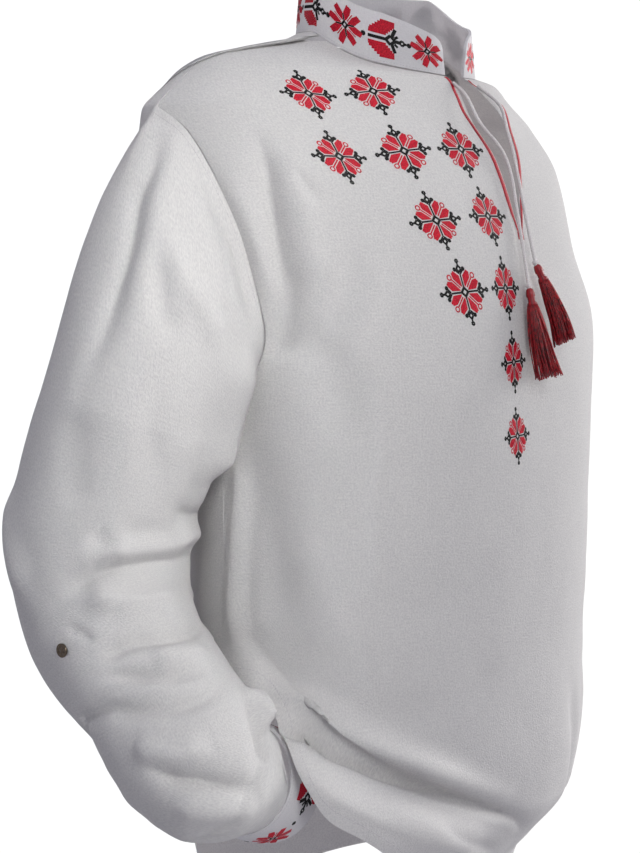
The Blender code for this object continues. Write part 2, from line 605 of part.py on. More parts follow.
def cord(name, line, sides=6):
    """A round cord along a line."""
    path = smooth(line, 4)
    points = []
    up = np.array([1.0, 0.0, 0.0])
    for k, p in enumerate(path):
        d = path[min(k + 1, len(path) - 1)] - path[max(k - 1, 0)]
        d = d / np.linalg.norm(d)
        u = up - d * (up @ d)
        u /= np.linalg.norm(u)
        v = np.cross(d, u)
        for j in range(sides):
            t = 2 * math.pi * j / sides
            points.append(p + (u * math.cos(t) + v * math.sin(t)) * CORD_THICK / 2)
    n = len(path)
    faces = [f[::-1] for f in grid(n, sides, closed=True)]
    faces += [tuple(reversed(range(sides))), tuple((n - 1) * sides + j for j in range(sides))]
    fixed = []
    for f in faces:
        fixed += [(f[0], f[k], f[k + 1]) for k in range(1, len(f) - 1)]
    add(name, points, fixed)


def tassel(name, top, way, long):
    """A bound head with 54 three-sided strands growing out of its foot."""
    way = way / np.linalg.norm(way)
    u = np.array([1.0, 0.0, 0.0]) - way * way[0]
    u /= np.linalg.norm(u)
    v = np.cross(way, u)
    start = top + way * (GAP + 0.0007)
    profile = [(0.0, 0.0016), (0.0015, 0.0034), (0.0050, 0.0048), (0.0085, 0.0052), (0.0100, 0.0040),
               (0.0125, 0.0040), (0.0145, 0.0054)]
    points, faces = [start], []
    for s, r in profile:
        points += [start + way * s + (u * math.cos(a) + v * math.sin(a)) * r
                   for a in (2 * math.pi * k / 18 for k in range(18))]
    faces += [(0, 1 + (k + 1) % 18, 1 + k) for k in range(18)]
    for i in range(len(profile) - 1):
        for k in range(18):
            a, b = 1 + i * 18 + k, 1 + i * 18 + (k + 1) % 18
            faces += halves([(a, b, b + 18, a + 18)])
    rim = [1 + (len(profile) - 1) * 18 + k for k in range(18)]
    foot = start + way * profile[-1][0]
    rings = [[len(points)]]
    points.append(foot.copy())
    for r in (1, 2):
        rings.append([])
        for k in range(6 * r):
            a = 2 * math.pi * k / (6 * r)
            rings[-1].append(len(points))
            points.append(foot + (u * math.cos(a) + v * math.sin(a)) * profile[-1][1] * r / 3)
    rings.append(rim)
    roots = []
    for r in range(1, 4):
        inner, outer = rings[r - 1], rings[r]
        for side in range(6):
            for k in range(r):
                o = side * r + k
                i0 = inner[(side * (r - 1) + k) % len(inner)]
                roots.append((i0, outer[o], outer[(o + 1) % len(outer)]))
                if k < r - 1:
                    roots.append((i0, outer[(o + 1) % len(outer)], inner[(side * (r - 1) + k + 1) % len(inner)]))
    for n, (a, b, c) in enumerate(roots):
        mid = (points[a] + points[b] + points[c]) / 3
        off = mid - foot
        length = long - profile[-1][0] - 0.004 * ((n * 7) % 5) / 4
        last = [a, b, c]
        for s, size in ((0.14, 0.66), (0.55, 0.60), (1.0, 0.50)):
            centre = mid + way * length * s + off * (1.25 * s ** 0.8 + 0.35 * math.sin(math.pi * s) * ((n * 5) % 3 - 1) / 2)
            new = []
            for q in (a, b, c):
                new.append(len(points))
                points.append(centre + (points[q] - mid) * size)
            for k in range(3):
                faces += halves([(last[k], last[(k + 1) % 3], new[(k + 1) % 3], new[k])])
            last = new
        faces.append(tuple(last))
    add(name, points, faces)


def button(name, side, t, turn, off):
    """A small dished metal button sewn on the sleeve; off seats it on the folded cloth."""
    p = sleeve(side, t, turn)
    across, down = sleeve(side, t, turn + 4) - p, sleeve(side, t + 0.05, turn) - p
    n = np.cross(down, across) * (1 if side < 0 else -1)
    n /= np.linalg.norm(n)
    middle = ARMS[side][0][min(int(t), len(ARMS[side][0]) - 1), :3]
    if n @ (p - middle) < 0:
        n = -n
    u = down / np.linalg.norm(down)
    v = np.cross(n, u)
    points, faces = [], []
    profile = [(0.0000, 0.0), (0.0036, 0.0), (0.0054, 0.0008), (0.0056, 0.0017), (0.0050, 0.0024), (0.0040, 0.0022),
               (0.0034, 0.0015)]
    rings = []
    for r, h in profile:
        rings.append([])
        for k in range(16 if r else 1):
            a = 2 * math.pi * k / 16
            rings[-1].append(len(points))
            points.append(p + n * (h + off) + (u * math.cos(a) + v * math.sin(a)) * r)
    rings.append([len(points)])
    points.append(p + n * (0.0014 + off))
    for low, high in zip(rings, rings[1:]):
        for k in range(16):
            j = (k + 1) % 16
            if len(low) == 1:
                faces.append((low[0], high[j], high[k]))
            elif len(high) == 1:
                faces.append((low[k], low[j], high[0]))
            else:
                faces += halves([(low[k], low[j], high[j], high[k])])
    add(name, points, faces)


for start in list(bpy.data.objects):
    bpy.data.objects.remove(start)
panel("shirt_front", True)
panel("shirt_back", False)
arm("right_sleeve", -1, RIGHT_FOLDS, 28, 24)
arm("left_sleeve", 1, LEFT_FOLDS, 24, 22)
cuff("right_cuff", -1)
cuff("left_cuff", 1)
collar("collar")
cord("right_cord", RIGHT_CORD)
cord("left_cord", LEFT_CORD)
for title, (top, way, long) in TASSELS.items():
    tassel(title, top, way, long)
button("right_sleeve_button", -1, 4.2, 4, 0.0001)
button("left_sleeve_button", 1, 3.6, 4, -0.0026)
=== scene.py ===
"""The looks of a worn embroidered linen shirt (vyshyvanka): cloth, cross-stitch, ties, tassels and buttons.

Metres, +Z up. The wearer faces -Y and +X is the wearer's left, as in the CAD.
"""
import math

import bpy
import numpy as np
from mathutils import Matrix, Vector, noise
from mathutils.bvhtree import BVHTree


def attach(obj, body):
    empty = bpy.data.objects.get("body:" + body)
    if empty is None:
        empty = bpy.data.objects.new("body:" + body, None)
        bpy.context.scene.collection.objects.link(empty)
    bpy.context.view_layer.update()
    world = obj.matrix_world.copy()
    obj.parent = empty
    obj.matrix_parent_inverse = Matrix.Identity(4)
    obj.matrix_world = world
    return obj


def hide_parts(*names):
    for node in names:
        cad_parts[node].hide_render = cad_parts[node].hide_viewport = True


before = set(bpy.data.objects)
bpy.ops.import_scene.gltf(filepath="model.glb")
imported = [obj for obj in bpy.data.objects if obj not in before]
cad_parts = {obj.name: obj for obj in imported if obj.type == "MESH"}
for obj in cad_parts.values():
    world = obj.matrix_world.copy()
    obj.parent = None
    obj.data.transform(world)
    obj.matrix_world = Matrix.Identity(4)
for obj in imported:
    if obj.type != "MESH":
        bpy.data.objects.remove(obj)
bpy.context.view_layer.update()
RNG = np.random.default_rng(7)
MM = 0.001

# ---- the shirt's form, the same as in the CAD
ROUND = 2.1
BODY = np.array([
    # height, right,  left,  front,  back,  side
    (0.000, 0.066, 0.066, 0.002, 0.066, 0.010),
    (-0.009, 0.082, 0.082, 0.006, 0.076, 0.0135),
    (-0.014, 0.096, 0.094, 0.012, 0.081, 0.016),
    (-0.026, 0.150, 0.118, 0.028, 0.092, 0.021),
    (-0.035, 0.184, 0.128, 0.046, 0.100, 0.026),
    (-0.041, 0.195, 0.132, 0.0645, 0.105, 0.029),
    (-0.047, 0.203, 0.135, 0.082, 0.110, 0.032),
    (-0.060, 0.214, 0.146, 0.093, 0.119, 0.038),
    (-0.080, 0.232, 0.179, 0.104, 0.130, 0.043),
    (-0.120, 0.235, 0.197, 0.128, 0.142, 0.038),
    (-0.180, 0.225, 0.194, 0.149, 0.146, 0.026),
    (-0.250, 0.212, 0.214, 0.163, 0.142, 0.014),
    (-0.330, 0.204, 0.195, 0.170, 0.132, 0.004),
    (-0.420, 0.200, 0.189, 0.169, 0.124, 0.000),
    (-0.520, 0.200, 0.188, 0.164, 0.126, 0.000),
    (-0.600, 0.200, 0.188, 0.161, 0.132, 0.000),
    (-0.660, 0.196, 0.184, 0.150, 0.134, 0.000),
    (-0.700, 0.192, 0.158, 0.118, 0.132, 0.000),
    (-0.720, 0.191, 0.144, 0.101, 0.131, 0.000),
    (-0.770, 0.188, 0.130, 0.086, 0.128, 0.000),
])
HEM = np.array([
    # turn,  height
    (-180, -0.758), (-150, -0.745), (-125, -0.670), (-105, -0.562), (-92, -0.540), (-80, -0.541),
    (-72, -0.556), (-66, -0.581), (-61, -0.610), (-56, -0.638), (-48, -0.657), (-39, -0.680), (-25, -0.722),
    (-8, -0.752), (20, -0.756), (50, -0.745), (90, -0.725), (130, -0.742), (180, -0.758),
])
FLAP = np.array([
    # turn, height, out
    (-130, -0.600, 0.0), (-100, -0.520, 0.004), (-85, -0.500, 0.012), (-72, -0.530, 0.034),
    (-60, -0.566, 0.051), (-48, -0.594, 0.044), (-36, -0.616, 0.031), (-20, -0.642, 0.018),
    (-5, -0.664, 0.010), (15, -0.690, 0.0),
])
ARMHOLE = np.array([
    # round, turn,  height
    (0, 90.0, -0.078), (30, 80.0, -0.098), (60, 73.5, -0.142), (90, 71.5, -0.200), (120, 71.5, -0.252),
    (150, 76.0, -0.290), (180, 90.0, -0.306), (210, 104.0, -0.292), (240, 108.0, -0.255),
    (270, 106.5, -0.205), (300, 103.0, -0.148), (330, 98.5, -0.098), (360, 90.0, -0.078),
])
SLEEVES = {-1: np.array([
    # x,      y,      z,     dx,    dy,    dz,   across, deep
    (-0.258, 0.045, -0.325, -0.18, 0.25, -0.95, 0.075, 0.077),
    (-0.266, 0.064, -0.385, -0.10, 0.22, -0.97, 0.073, 0.075),
    (-0.270, 0.071, -0.440, -0.02, -0.05, -1.0, 0.073, 0.073),
    (-0.273, 0.055, -0.497, 0.02, -0.42, -0.90, 0.067, 0.069),
    (-0.274, 0.008, -0.545, 0.20, -0.52, -0.80, 0.063, 0.065),
    (-0.271, -0.030, -0.582, 0.48, -0.42, -0.74, 0.064, 0.060),
    (-0.261, -0.047, -0.604, 0.78, -0.08, -0.58, 0.058, 0.052),
    (-0.236, -0.053, -0.610, 0.91, 0.26, -0.30, 0.044, 0.043),
]), 1: np.array([
    (0.258, 0.052, -0.325, 0.14, 0.25, -0.95, 0.080, 0.076),
    (0.266, 0.074, -0.395, 0.08, 0.22, -0.97, 0.074, 0.074),
    (0.270, 0.086, -0.460, 0.02, 0.08, -1.0, 0.068, 0.072),
    (0.270, 0.088, -0.520, -0.02, -0.02, -1.0, 0.064, 0.068),
    (0.267, 0.082, -0.580, -0.06, -0.12, -0.99, 0.061, 0.064),
    (0.262, 0.072, -0.628, -0.10, -0.18, -0.97, 0.057, 0.058),
    (0.258, 0.066, -0.655, -0.12, -0.20, -0.96, 0.043, 0.043),
])}
CUFF_LONG, CUFF_RADIUS = 0.052, 0.045
NECK_WIDE, NECK_FRONT, NECK_BACK = 0.080, 0.080, 0.074
SLIT = np.array([
    # height, right edge, left edge, the left edge stands out
    (-0.030, -0.013, 0.012, 0.000), (-0.050, -0.013, 0.013, 0.000), (-0.060, -0.0155, 0.026, 0.004),
    (-0.072, -0.016, 0.030, 0.008), (-0.092, -0.011, 0.024, 0.007), (-0.115, -0.006, 0.018, 0.005),
    (-0.140, -0.004, 0.010, 0.003), (-0.160, -0.0035, 0.005, 0.001), (-0.178, -0.0012, 0.0012, 0.000),
])
SLIT_END = -0.178
SEAM_START = -0.090      # below this the front and back are cut by the armhole
UNDERARM = -0.310
LEAN = 25.0


def curve(rows, x, column):
    """A smooth curve through a table's rows, read at x."""
    xs, ys = rows[:, 0], rows[:, column]
    if xs[0] > xs[-1]:
        xs, ys = xs[::-1], ys[::-1]
    x = np.clip(x, xs[0], xs[-1])
    i = np.clip(np.searchsorted(xs, x) - 1, 0, len(xs) - 2)
    rise = np.diff(ys) / np.diff(xs)
    a, b = rise[:-1], rise[1:]
    inner = np.where(a * b > 0, 2 * a * b / np.where(a + b == 0, 1, a + b), 0)
    slope = np.concatenate([rise[:1], inner, rise[-1:]])
    h = xs[i + 1] - xs[i]
    t = (x - xs[i]) / h
    return ((1 + 2 * t) * (1 - t) ** 2 * ys[i] + t * (1 - t) ** 2 * h * slope[i]
            + t * t * (3 - 2 * t) * ys[i + 1] - t * t * (1 - t) * h * slope[i + 1])


def flap(turn, height):
    """How far the front's lower part stands out over the right cuff."""
    t = np.clip((curve(FLAP, turn, 1) - height) / 0.045, 0, 1)
    out = np.maximum(curve(FLAP, turn, 2), 0) * t * t * (3 - 2 * t)
    return np.where((turn > FLAP[0, 0]) & (turn < FLAP[-1, 0]), out, 0.0)


def torso(turn, height):
    """The body: turn 0 is the front centre, -90 the wearer's right side."""
    turn, height = np.broadcast_arrays(np.asarray(turn, float), np.asarray(height, float))
    s, c = np.sin(np.radians(turn)), np.cos(np.radians(turn))
    more = flap(turn, height)
    mid = curve(BODY, height, 5)
    width = np.where(s > 0, curve(BODY, height, 2), curve(BODY, height, 1)) + more
    depth = np.where(c > 0, curve(BODY, height, 3) + mid, curve(BODY, height, 4) - mid) + more
    return np.stack([np.copysign(np.abs(s) ** (2 / ROUND), s) * width,
                     mid - np.copysign(np.abs(c) ** (2 / ROUND), c) * depth, height], -1)


def turn_at(p):
    """The turn of points, and how far out they lie: 1 is on the body."""
    x, y, z = p[..., 0], p[..., 1], p[..., 2]
    mid = curve(BODY, z, 5)
    width = np.where(x > 0, curve(BODY, z, 2), curve(BODY, z, 1))
    depth = np.where(y < mid, curve(BODY, z, 3) + mid, curve(BODY, z, 4) - mid)
    s, c = (np.abs(x) / width) ** (ROUND / 2), (np.abs(y - mid) / depth) ** (ROUND / 2)
    turn = np.degrees(np.arctan2(np.copysign(s, x), np.copysign(c, mid - y)))
    out = flap(turn, z)
    s, c = np.abs(x) / (width + out), np.abs(y - mid) / (depth + out)
    return turn, (s ** ROUND + c ** ROUND) ** (1 / ROUND)


def neck(t):
    """The foot of the collar; t is 0 at the front centre."""
    a = np.radians(np.asarray(t, float))
    deep = np.where(np.cos(a) > 0, NECK_FRONT, NECK_BACK)
    p = np.stack([NECK_WIDE * np.sin(a), -deep * np.cos(a), 0 * a], -1)
    low, high = np.full(a.shape, -0.09), np.full(a.shape, -0.0005)
    for _ in range(30):
        z = (low + high) / 2
        p[..., 2] = z
        inside = turn_at(p)[1] > 1
        high, low = np.where(inside, z, high), np.where(inside, low, z)
    return p


def through(a, b, c, d, u):
    """A smooth step from b to c on a line that comes from a and goes on to d; u runs from 0 to 1."""
    return 0.5 * (2 * b + (c - a) * u + (2 * a - 5 * b + 4 * c - d) * u * u
                  + (3 * b - a - 3 * c + d) * u ** 3)


def unit(v):
    """Ways made one long."""
    return v / np.maximum(np.linalg.norm(v, axis=-1, keepdims=True), 1e-12)


def way_out(turn, height):
    """The way out of the body at a point."""
    return unit(np.cross(torso(turn, height - 0.003) - torso(turn, height + 0.003),
                         torso(turn + 2, height) - torso(turn - 2, height)))


def carried(rows, side):
    """The ways along and across a sleeve at each ring, carried along it without twist."""
    out, a = [], np.array([side, 0.0, 0.0])
    for row in rows:
        d = unit(row[3:6])
        a = unit(a - d * (a @ d))
        out.append((d, a, np.cross(d, a) * side))
    return [np.array(v) for v in zip(*out)]


ARMS = {side: carried(rows, side) for side, rows in SLEEVES.items()}


def arm_ring(side, k, turn):
    """Points of a sleeve's rings, and the way the sleeve runs there."""
    rows, (d, a, b) = SLEEVES[side], ARMS[side]
    k = np.clip(k, 0, len(rows) - 1)
    t = np.radians(turn - LEAN * np.sin(np.radians(turn / 2)) ** 2)[..., None]
    return rows[k, :3] + a[k] * rows[k, 6:7] * np.cos(t) + b[k] * rows[k, 7:8] * np.sin(t), d[k]


def sleeve(side, t, turn):
    """A sleeve before its folds: t is 0 at the armhole, then counts the rings from 1.

    Turn 0 is the shoulder side and 90 the front.
    """
    t, turn = np.broadcast_arrays(np.asarray(t, float), np.asarray(turn, float))
    c, s = np.cos(np.radians(turn)), np.sin(np.radians(turn))
    p0 = torso(side * curve(ARMHOLE, turn % 360, 1), curve(ARMHOLE, turn % 360, 2))
    p1, d1 = arm_ring(side, np.zeros(t.shape, int), turn)
    low = (1 - c) / 2
    d0 = np.stack([side * (0.58 + 0.37 * low), -0.25 * s, -0.55 + 0.35 * low], -1)
    reach = (0.26 * (1 - low) + 0.10 * low)[..., None]
    u = np.clip(t, 0, 1)[..., None]
    upper = ((2 * u ** 3 - 3 * u ** 2 + 1) * p0 + (u ** 3 - 2 * u ** 2 + u) * d0 * reach
             + (3 * u ** 2 - 2 * u ** 3) * p1 + (u ** 3 - u ** 2) * d1 * reach)
    k = np.clip((t - 1).astype(int), 0, len(SLEEVES[side]) - 2)
    u = (t - 1 - k)[..., None]
    lower = through(*(arm_ring(side, k + j, turn)[0] for j in (-1, 0, 1, 2)), u)
    return np.where((t < 1)[..., None], upper, lower)


def clear_of_body(p, room):
    """Points of a sleeve moved out until they have room to the body, down to its hem."""
    turn, out = turn_at(p)
    t = np.clip((p[..., 2] - curve(HEM, turn, 1) + 0.030) / 0.022, 0, 1)
    t = np.where(p[..., 2] < -0.74, 0, t)[..., None]
    mid = np.stack([0 * out, curve(BODY, p[..., 2], 5), p[..., 2]], -1)
    reach = np.linalg.norm(p - mid, axis=-1) / out
    need = 1 + room / reach
    return np.where((out < need)[..., None], mid + (p - mid) * (1 + t * (need / out - 1)[..., None]), p)


# ---- folds
# Each is a line over the cloth with its spread and height in mm (below 0 it is a trough), how sharp
# it is (2 is soft), and how much steeper its right-hand side is, seen along the line from outside.
BODY_FOLDS = [
    # spread, height, sharp, steep, line of (turn, height)
    (8, -6.5, 1.6, 0.2, [(-60, -0.100), (-60, -0.132), (-62, -0.162), (-64, -0.204), (-65, -0.234)]),
    (13, -5.5, 2.0, 0.0, [(-61, -0.205), (-66, -0.250), (-71, -0.285)]),
    (6, -2.5, 1.8, 0.0, [(-53, -0.130), (-52, -0.142), (-50, -0.160)]),
    (12, 4.5, 2.0, 0.0, [(-70, -0.125), (-68, -0.190), (-67, -0.240)]),
    (15, 4.0, 2.0, 0.0, [(-54, -0.105), (-54, -0.170), (-57, -0.225)]),
    (9, -2.0, 2.0, 0.0, [(-44, -0.190), (-49, -0.230), (-56, -0.262)]),
    (10, 2.0, 2.0, 0.0, [(-38, -0.200), (-45, -0.250), (-54, -0.290)]),
    (12, -1.8, 2.0, 0.0, [(-20, -0.300), (-30, -0.350), (-44, -0.390)]),
    (14, -2.0, 2.0, 0.0, [(-10, -0.430), (-26, -0.470), (-46, -0.490)]),
    (14, -2.4, 2.0, 0.0, [(-8, -0.520), (-28, -0.560), (-50, -0.566)]),
    (18, -4.0, 2.0, 0.0, [(-62, -0.250), (-55, -0.300), (-52, -0.360)]),
    (5, -15.0, 1.4, 0.4, [(-70, -0.566), (-67, -0.573), (-62, -0.580), (-57, -0.592), (-52, -0.600),
                          (-44, -0.612), (-34, -0.625), (-20, -0.643), (-2, -0.667), (8, -0.684)]),
    (12, 15.0, 2.0, 0.0, [(-76, -0.536), (-66, -0.555), (-56, -0.574), (-44, -0.593), (-30, -0.613),
                          (-8, -0.646)]),
    (13, 4.0, 2.0, 0.0, [(-46, -0.632), (-34, -0.650), (-22, -0.668), (-6, -0.692)]),
    (7, -3.0, 1.8, 0.2, [(-30, -0.655), (-20, -0.672), (-8, -0.690), (6, -0.712)]),
    (22, -4.5, 2.0, 0.0, [(-78, -0.340), (-76, -0.420), (-72, -0.500)]),
    (22, 3.5, 2.0, 0.0, [(-62, -0.420), (-60, -0.520)]),
    (8, 2.6, 1.9, 0.2, [(-84, -0.335), (-86, -0.394), (-87, -0.442), (-88, -0.486), (-85, -0.522)]),
    (8, -1.6, 1.9, 0.0, [(-80, -0.345), (-81, -0.394), (-82, -0.442), (-82, -0.482), (-80, -0.522)]),
    (14, -6.0, 2.0, 0.0, [(58, -0.105), (56, -0.145), (62, -0.190), (66, -0.230)]),
    (18, -4.5, 2.0, 0.0, [(50, -0.280), (46, -0.360), (50, -0.440)]),
    (16, 4.5, 2.0, 0.0, [(60, -0.300), (56, -0.400), (60, -0.520)]),
    (14, -5.0, 2.0, 0.0, [(20, -0.560), (34, -0.640), (38, -0.740)]),
    (16, 5.5, 2.0, 0.0, [(46, -0.540), (54, -0.640), (56, -0.735)]),
    (18, -6.0, 2.0, 0.0, [(134, -0.130), (138, -0.230), (142, -0.340)]),
    (16, 5.0, 2.0, 0.0, [(124, -0.200), (125, -0.300), (128, -0.420)]),
    (20, -6.0, 2.0, 0.0, [(-136, -0.130), (-139, -0.240), (-144, -0.350)]),
    (16, 5.0, 2.0, 0.0, [(-123, -0.200), (-124, -0.310), (-125, -0.430)]),
    (22, -6.0, 2.0, 0.0, [(160, -0.380), (152, -0.500), (156, -0.640), (160, -0.750)]),
    (22, 6.0, 2.0, 0.0, [(-176, -0.420), (-172, -0.560), (-178, -0.740)]),
    (20, -7.0, 2.0, 0.0, [(-152, -0.400), (-146, -0.520), (-140, -0.660)]),
    (18, 6.0, 2.0, 0.0, [(130, -0.480), (126, -0.600), (132, -0.730)]),
]
RIGHT_FOLDS = [
    # spread, height, sharp, steep, line of (rings along, turn)
    (8, -5.0, 1.7, 0.1, [(0.06, 10), (0.24, 20), (0.36, 16), (0.48, 20), (0.70, 15), (0.95, 8)]),
    (9, 4.5, 2.0, 0.0, [(0.38, 40), (0.48, 60), (0.48, 80), (0.56, 104)]),
    (8, -3.5, 2.0, 0.0, [(0.48, 38), (0.62, 50), (0.66, 66)]),
    (9, -3.5, 1.8, 0.0, [(0.07, 30), (0.09, 50), (0.10, 75), (0.12, 100), (0.16, 120)]),
    (14, 5.0, 2.0, 0.0, [(0.12, 30), (0.45, 33), (0.85, 36)]),
    (12, -2.5, 2.0, 0.0, [(0.80, 60), (1.20, 66), (1.70, 84)]),
    (14, 2.5, 2.0, 0.0, [(0.90, 90), (1.40, 100), (1.90, 112)]),
    (16, -3.0, 2.0, 0.0, [(1.10, 10), (1.70, 20), (2.20, 30)]),
    (10, -3.5, 2.0, 0.0, [(2.58, 118), (2.46, 88), (2.52, 62)]),
    (9, -3.0, 2.0, 0.0, [(2.44, 42), (2.62, 50), (2.78, 58)]),
    (8, -9.0, 1.5, 0.3, [(3.60, 14), (3.40, 36), (3.18, 64), (3.12, 96), (3.06, 158)]),
    (13, 8.0, 2.0, 0.0, [(2.66, 139), (2.80, 90), (2.96, 43)]),
    (12, 8.5, 2.0, 0.0, [(3.54, 34), (3.80, 56), (3.98, 82), (3.90, 130)]),
    (5, -3.0, 1.8, 0.0, [(3.94, 14), (4.14, 24), (4.28, 29)]),
    (7, -9.5, 1.4, 0.3, [(4.42, 22), (4.48, 36), (4.50, 56), (4.62, 88), (4.62, 126), (4.40, 160)]),
    (6, -6.5, 1.7, 0.2, [(4.60, 14), (4.74, 32), (4.92, 52), (5.10, 72), (5.22, 102)]),
    (9, 6.0, 2.0, 0.0, [(4.72, 58), (4.84, 84), (4.92, 120)]),
    (8, -8.5, 1.5, 0.3, [(4.70, 350), (4.84, 0), (4.98, 8), (5.16, 24), (5.28, 40), (5.40, 56),
                         (5.52, 84), (5.52, 114)]),
    (11, 8.0, 2.0, 0.0, [(5.44, 10), (5.60, 20), (5.80, 38), (6.02, 66)]),
    (7, -9.5, 1.4, 0.3, [(5.66, 8), (6.00, 20), (6.24, 36), (6.54, 52), (6.96, 78)]),
    (11, 8.0, 2.0, 0.0, [(6.20, 4), (6.50, 24), (6.86, 44), (7.20, 66)]),
    (8, -5.0, 1.6, 0.2, [(6.60, 352), (6.95, 12), (7.30, 30)]),
    (10, 7.0, 2.0, 0.0, [(5.80, 122), (6.25, 141), (6.90, 138)]),
    (7, -5.5, 1.6, 0.2, [(5.90, 138), (6.10, 126), (6.46, 118), (6.80, 112), (7.10, 104)]),
    (20, 15.0, 2.0, 0.0, [(0.22, 126), (0.60, 134), (1.10, 140), (1.65, 142)]),
    (6, -5.0, 1.8, 0.0, [(1.95, 106), (2.06, 132), (2.10, 165)]),
    (8, 5.0, 2.0, 0.0, [(2.46, 112), (2.52, 144), (2.60, 175)]),
    (13, 10.0, 2.0, 0.0, [(5.80, 150), (6.30, 152), (6.80, 148), (7.20, 140)]),
    (14, -8.0, 2.0, 0.0, [(2.60, 233), (3.00, 195), (3.20, 173)]),
    (14, 8.0, 2.0, 0.0, [(3.40, 224), (3.70, 193), (3.90, 173)]),
    (16, 6.0, 2.0, 0.0, [(2.20, 306), (2.90, 332), (3.50, 350)]),
    (16, -6.0, 2.0, 0.0, [(4.40, 275), (4.90, 306), (5.40, 332)]),
    (14, 6.0, 2.0, 0.0, [(5.20, 259), (5.80, 282), (6.40, 323)]),
    (12, -6.0, 2.0, 0.0, [(6.30, 306), (6.90, 290), (7.50, 282)]),
    (12, -6.0, 2.0, 0.0, [(6.30, 215), (6.90, 205), (7.60, 195)]),
]
LEFT_FOLDS = [
    # spread, height, sharp, steep, line of (rings along, turn)
    (14, -5.5, 2.0, 0.0, [(0.10, 20), (0.40, 22), (0.90, 10)]),
    (16, 5.0, 2.0, 0.0, [(0.25, 46), (0.50, 70), (0.80, 92)]),
    (14, 5.0, 2.0, 0.0, [(0.20, 320), (0.60, 330), (1.20, 341)]),
    (14, -7.0, 2.0, 0.0, [(2.40, 32), (2.70, 102), (2.40, 173)]),
    (14, 7.0, 2.0, 0.0, [(2.80, 21), (3.20, 102), (2.90, 184)]),
    (13, -7.0, 2.0, 0.0, [(3.60, 350), (3.80, 66), (3.50, 151)]),
    (13, 7.0, 2.0, 0.0, [(4.20, 341), (4.40, 43), (4.10, 127)]),
    (12, -7.0, 2.0, 0.0, [(4.80, 21), (5.00, 102), (4.90, 184)]),
    (13, 7.0, 2.0, 0.0, [(5.40, 43), (5.60, 115), (5.40, 195)]),
    (13, -6.5, 2.0, 0.0, [(3.40, 224), (3.80, 275), (4.30, 323)]),
    (14, 6.5, 2.0, 0.0, [(4.20, 215), (4.60, 259), (5.20, 306)]),
    (11, -6.0, 2.0, 0.0, [(5.80, 10), (6.60, 14)]),
    (11, -6.0, 2.0, 0.0, [(5.80, 151), (6.60, 146)]),
    (11, -6.0, 2.0, 0.0, [(5.80, 267), (6.60, 264)]),
]


def smooth(points, steps):
    """A smooth line through points."""
    p = np.array(points, float)
    p = np.vstack([2 * p[0] - p[1], p, 2 * p[-1] - p[-2]])
    out = []
    for k in range(1, len(p) - 2):
        out += [through(*p[k - 1:k + 3], i / steps) for i in range(steps)]
    return np.array(out + [p[-2]])


def fold_depth(points, normals, folds, surface):
    """How far the folds near each point move it along its normal."""
    move = np.zeros(len(points))
    for spread, high, sharp, steep, line in folds:
        spread, high = spread * MM, high * MM
        path = surface(*smooth(line, 5).T)
        reach = spread * 3.2
        near_box = np.all((points > path.min(0) - reach) & (points < path.max(0) + reach), axis=1)
        p, n = points[near_box], normals[near_box]
        near, share, side = np.full(len(p), 9.0), np.zeros(len(p)), np.zeros(len(p))
        for k in range(len(path) - 1):
            along = path[k + 1] - path[k]
            t = np.clip((p - path[k]) @ along / (along @ along), 0, 1)
            off = p - path[k] - t[:, None] * along
            away = np.linalg.norm(off, axis=1)
            closer = away < near
            share = np.where(closer, (k + t) / (len(path) - 1), share)
            side = np.where(closer, np.sign((np.cross(along, n) * off).sum(1)), side)
            near = np.minimum(near, away)
        fade = np.clip(np.minimum(share, 1 - share) * 4, 0, 1)
        fade = 0.15 + 0.85 * fade * fade * (3 - 2 * fade)
        move[near_box] += high * fade * np.exp(-(near / (spread * (1 - steep * side))) ** sharp)
    return move


def rumple(points, seed, size, high):
    """Soft unevenness of worn cloth, of a size in metres."""
    shift = Vector((seed * 7.3, seed * 3.1, seed * 5.7))
    return np.array([noise.noise(Vector(p) / size + shift) for p in points]) * high


# ---- building meshes
def piece(name, node_name, points, faces, material, uv=None, slot=None, smooth_faces=True):
    """One named piece of the shirt, which stands for its CAD node and rides with it."""
    mesh = bpy.data.meshes.new(name)
    mesh.from_pydata(np.asarray(points, float).tolist(), [], [tuple(int(i) for i in f) for f in faces])
    mesh.update()
    if uv is not None:
        layer = mesh.uv_layers.new(name="cloth metres")
        corner = np.zeros(len(mesh.loops), dtype=np.int64)
        mesh.loops.foreach_get("vertex_index", corner)
        layer.data.foreach_set("uv", np.asarray(uv, float)[corner].ravel())
    mesh.polygons.foreach_set("use_smooth", [smooth_faces] * len(mesh.polygons))
    mesh.materials.append(material)
    thing = bpy.data.objects.new(name, mesh)
    bpy.context.collection.objects.link(thing)
    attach(thing, "root")
    if node_name:
        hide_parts(node_name)
    return thing


def grid(rows, columns, closed=False):
    """The four-sided faces of rows of points."""
    i, j = np.meshgrid(np.arange(rows - 1), np.arange(columns - (0 if closed else 1)), indexing="ij")
    k = (j + 1) % columns
    here, next_ = i * columns, (i + 1) * columns
    return np.stack([here + j, next_ + j, next_ + k, here + k], -1).reshape(-1, 4)


def normals_of(points, faces):
    """The mean way out at each point of a sheet of four-sided faces."""
    a, b, c, d = (points[faces[:, k]] for k in range(4))
    out = np.cross(c - a, d - b)
    n = np.zeros_like(points)
    for k in range(4):
        np.add.at(n, faces[:, k], out)
    return unit(n)


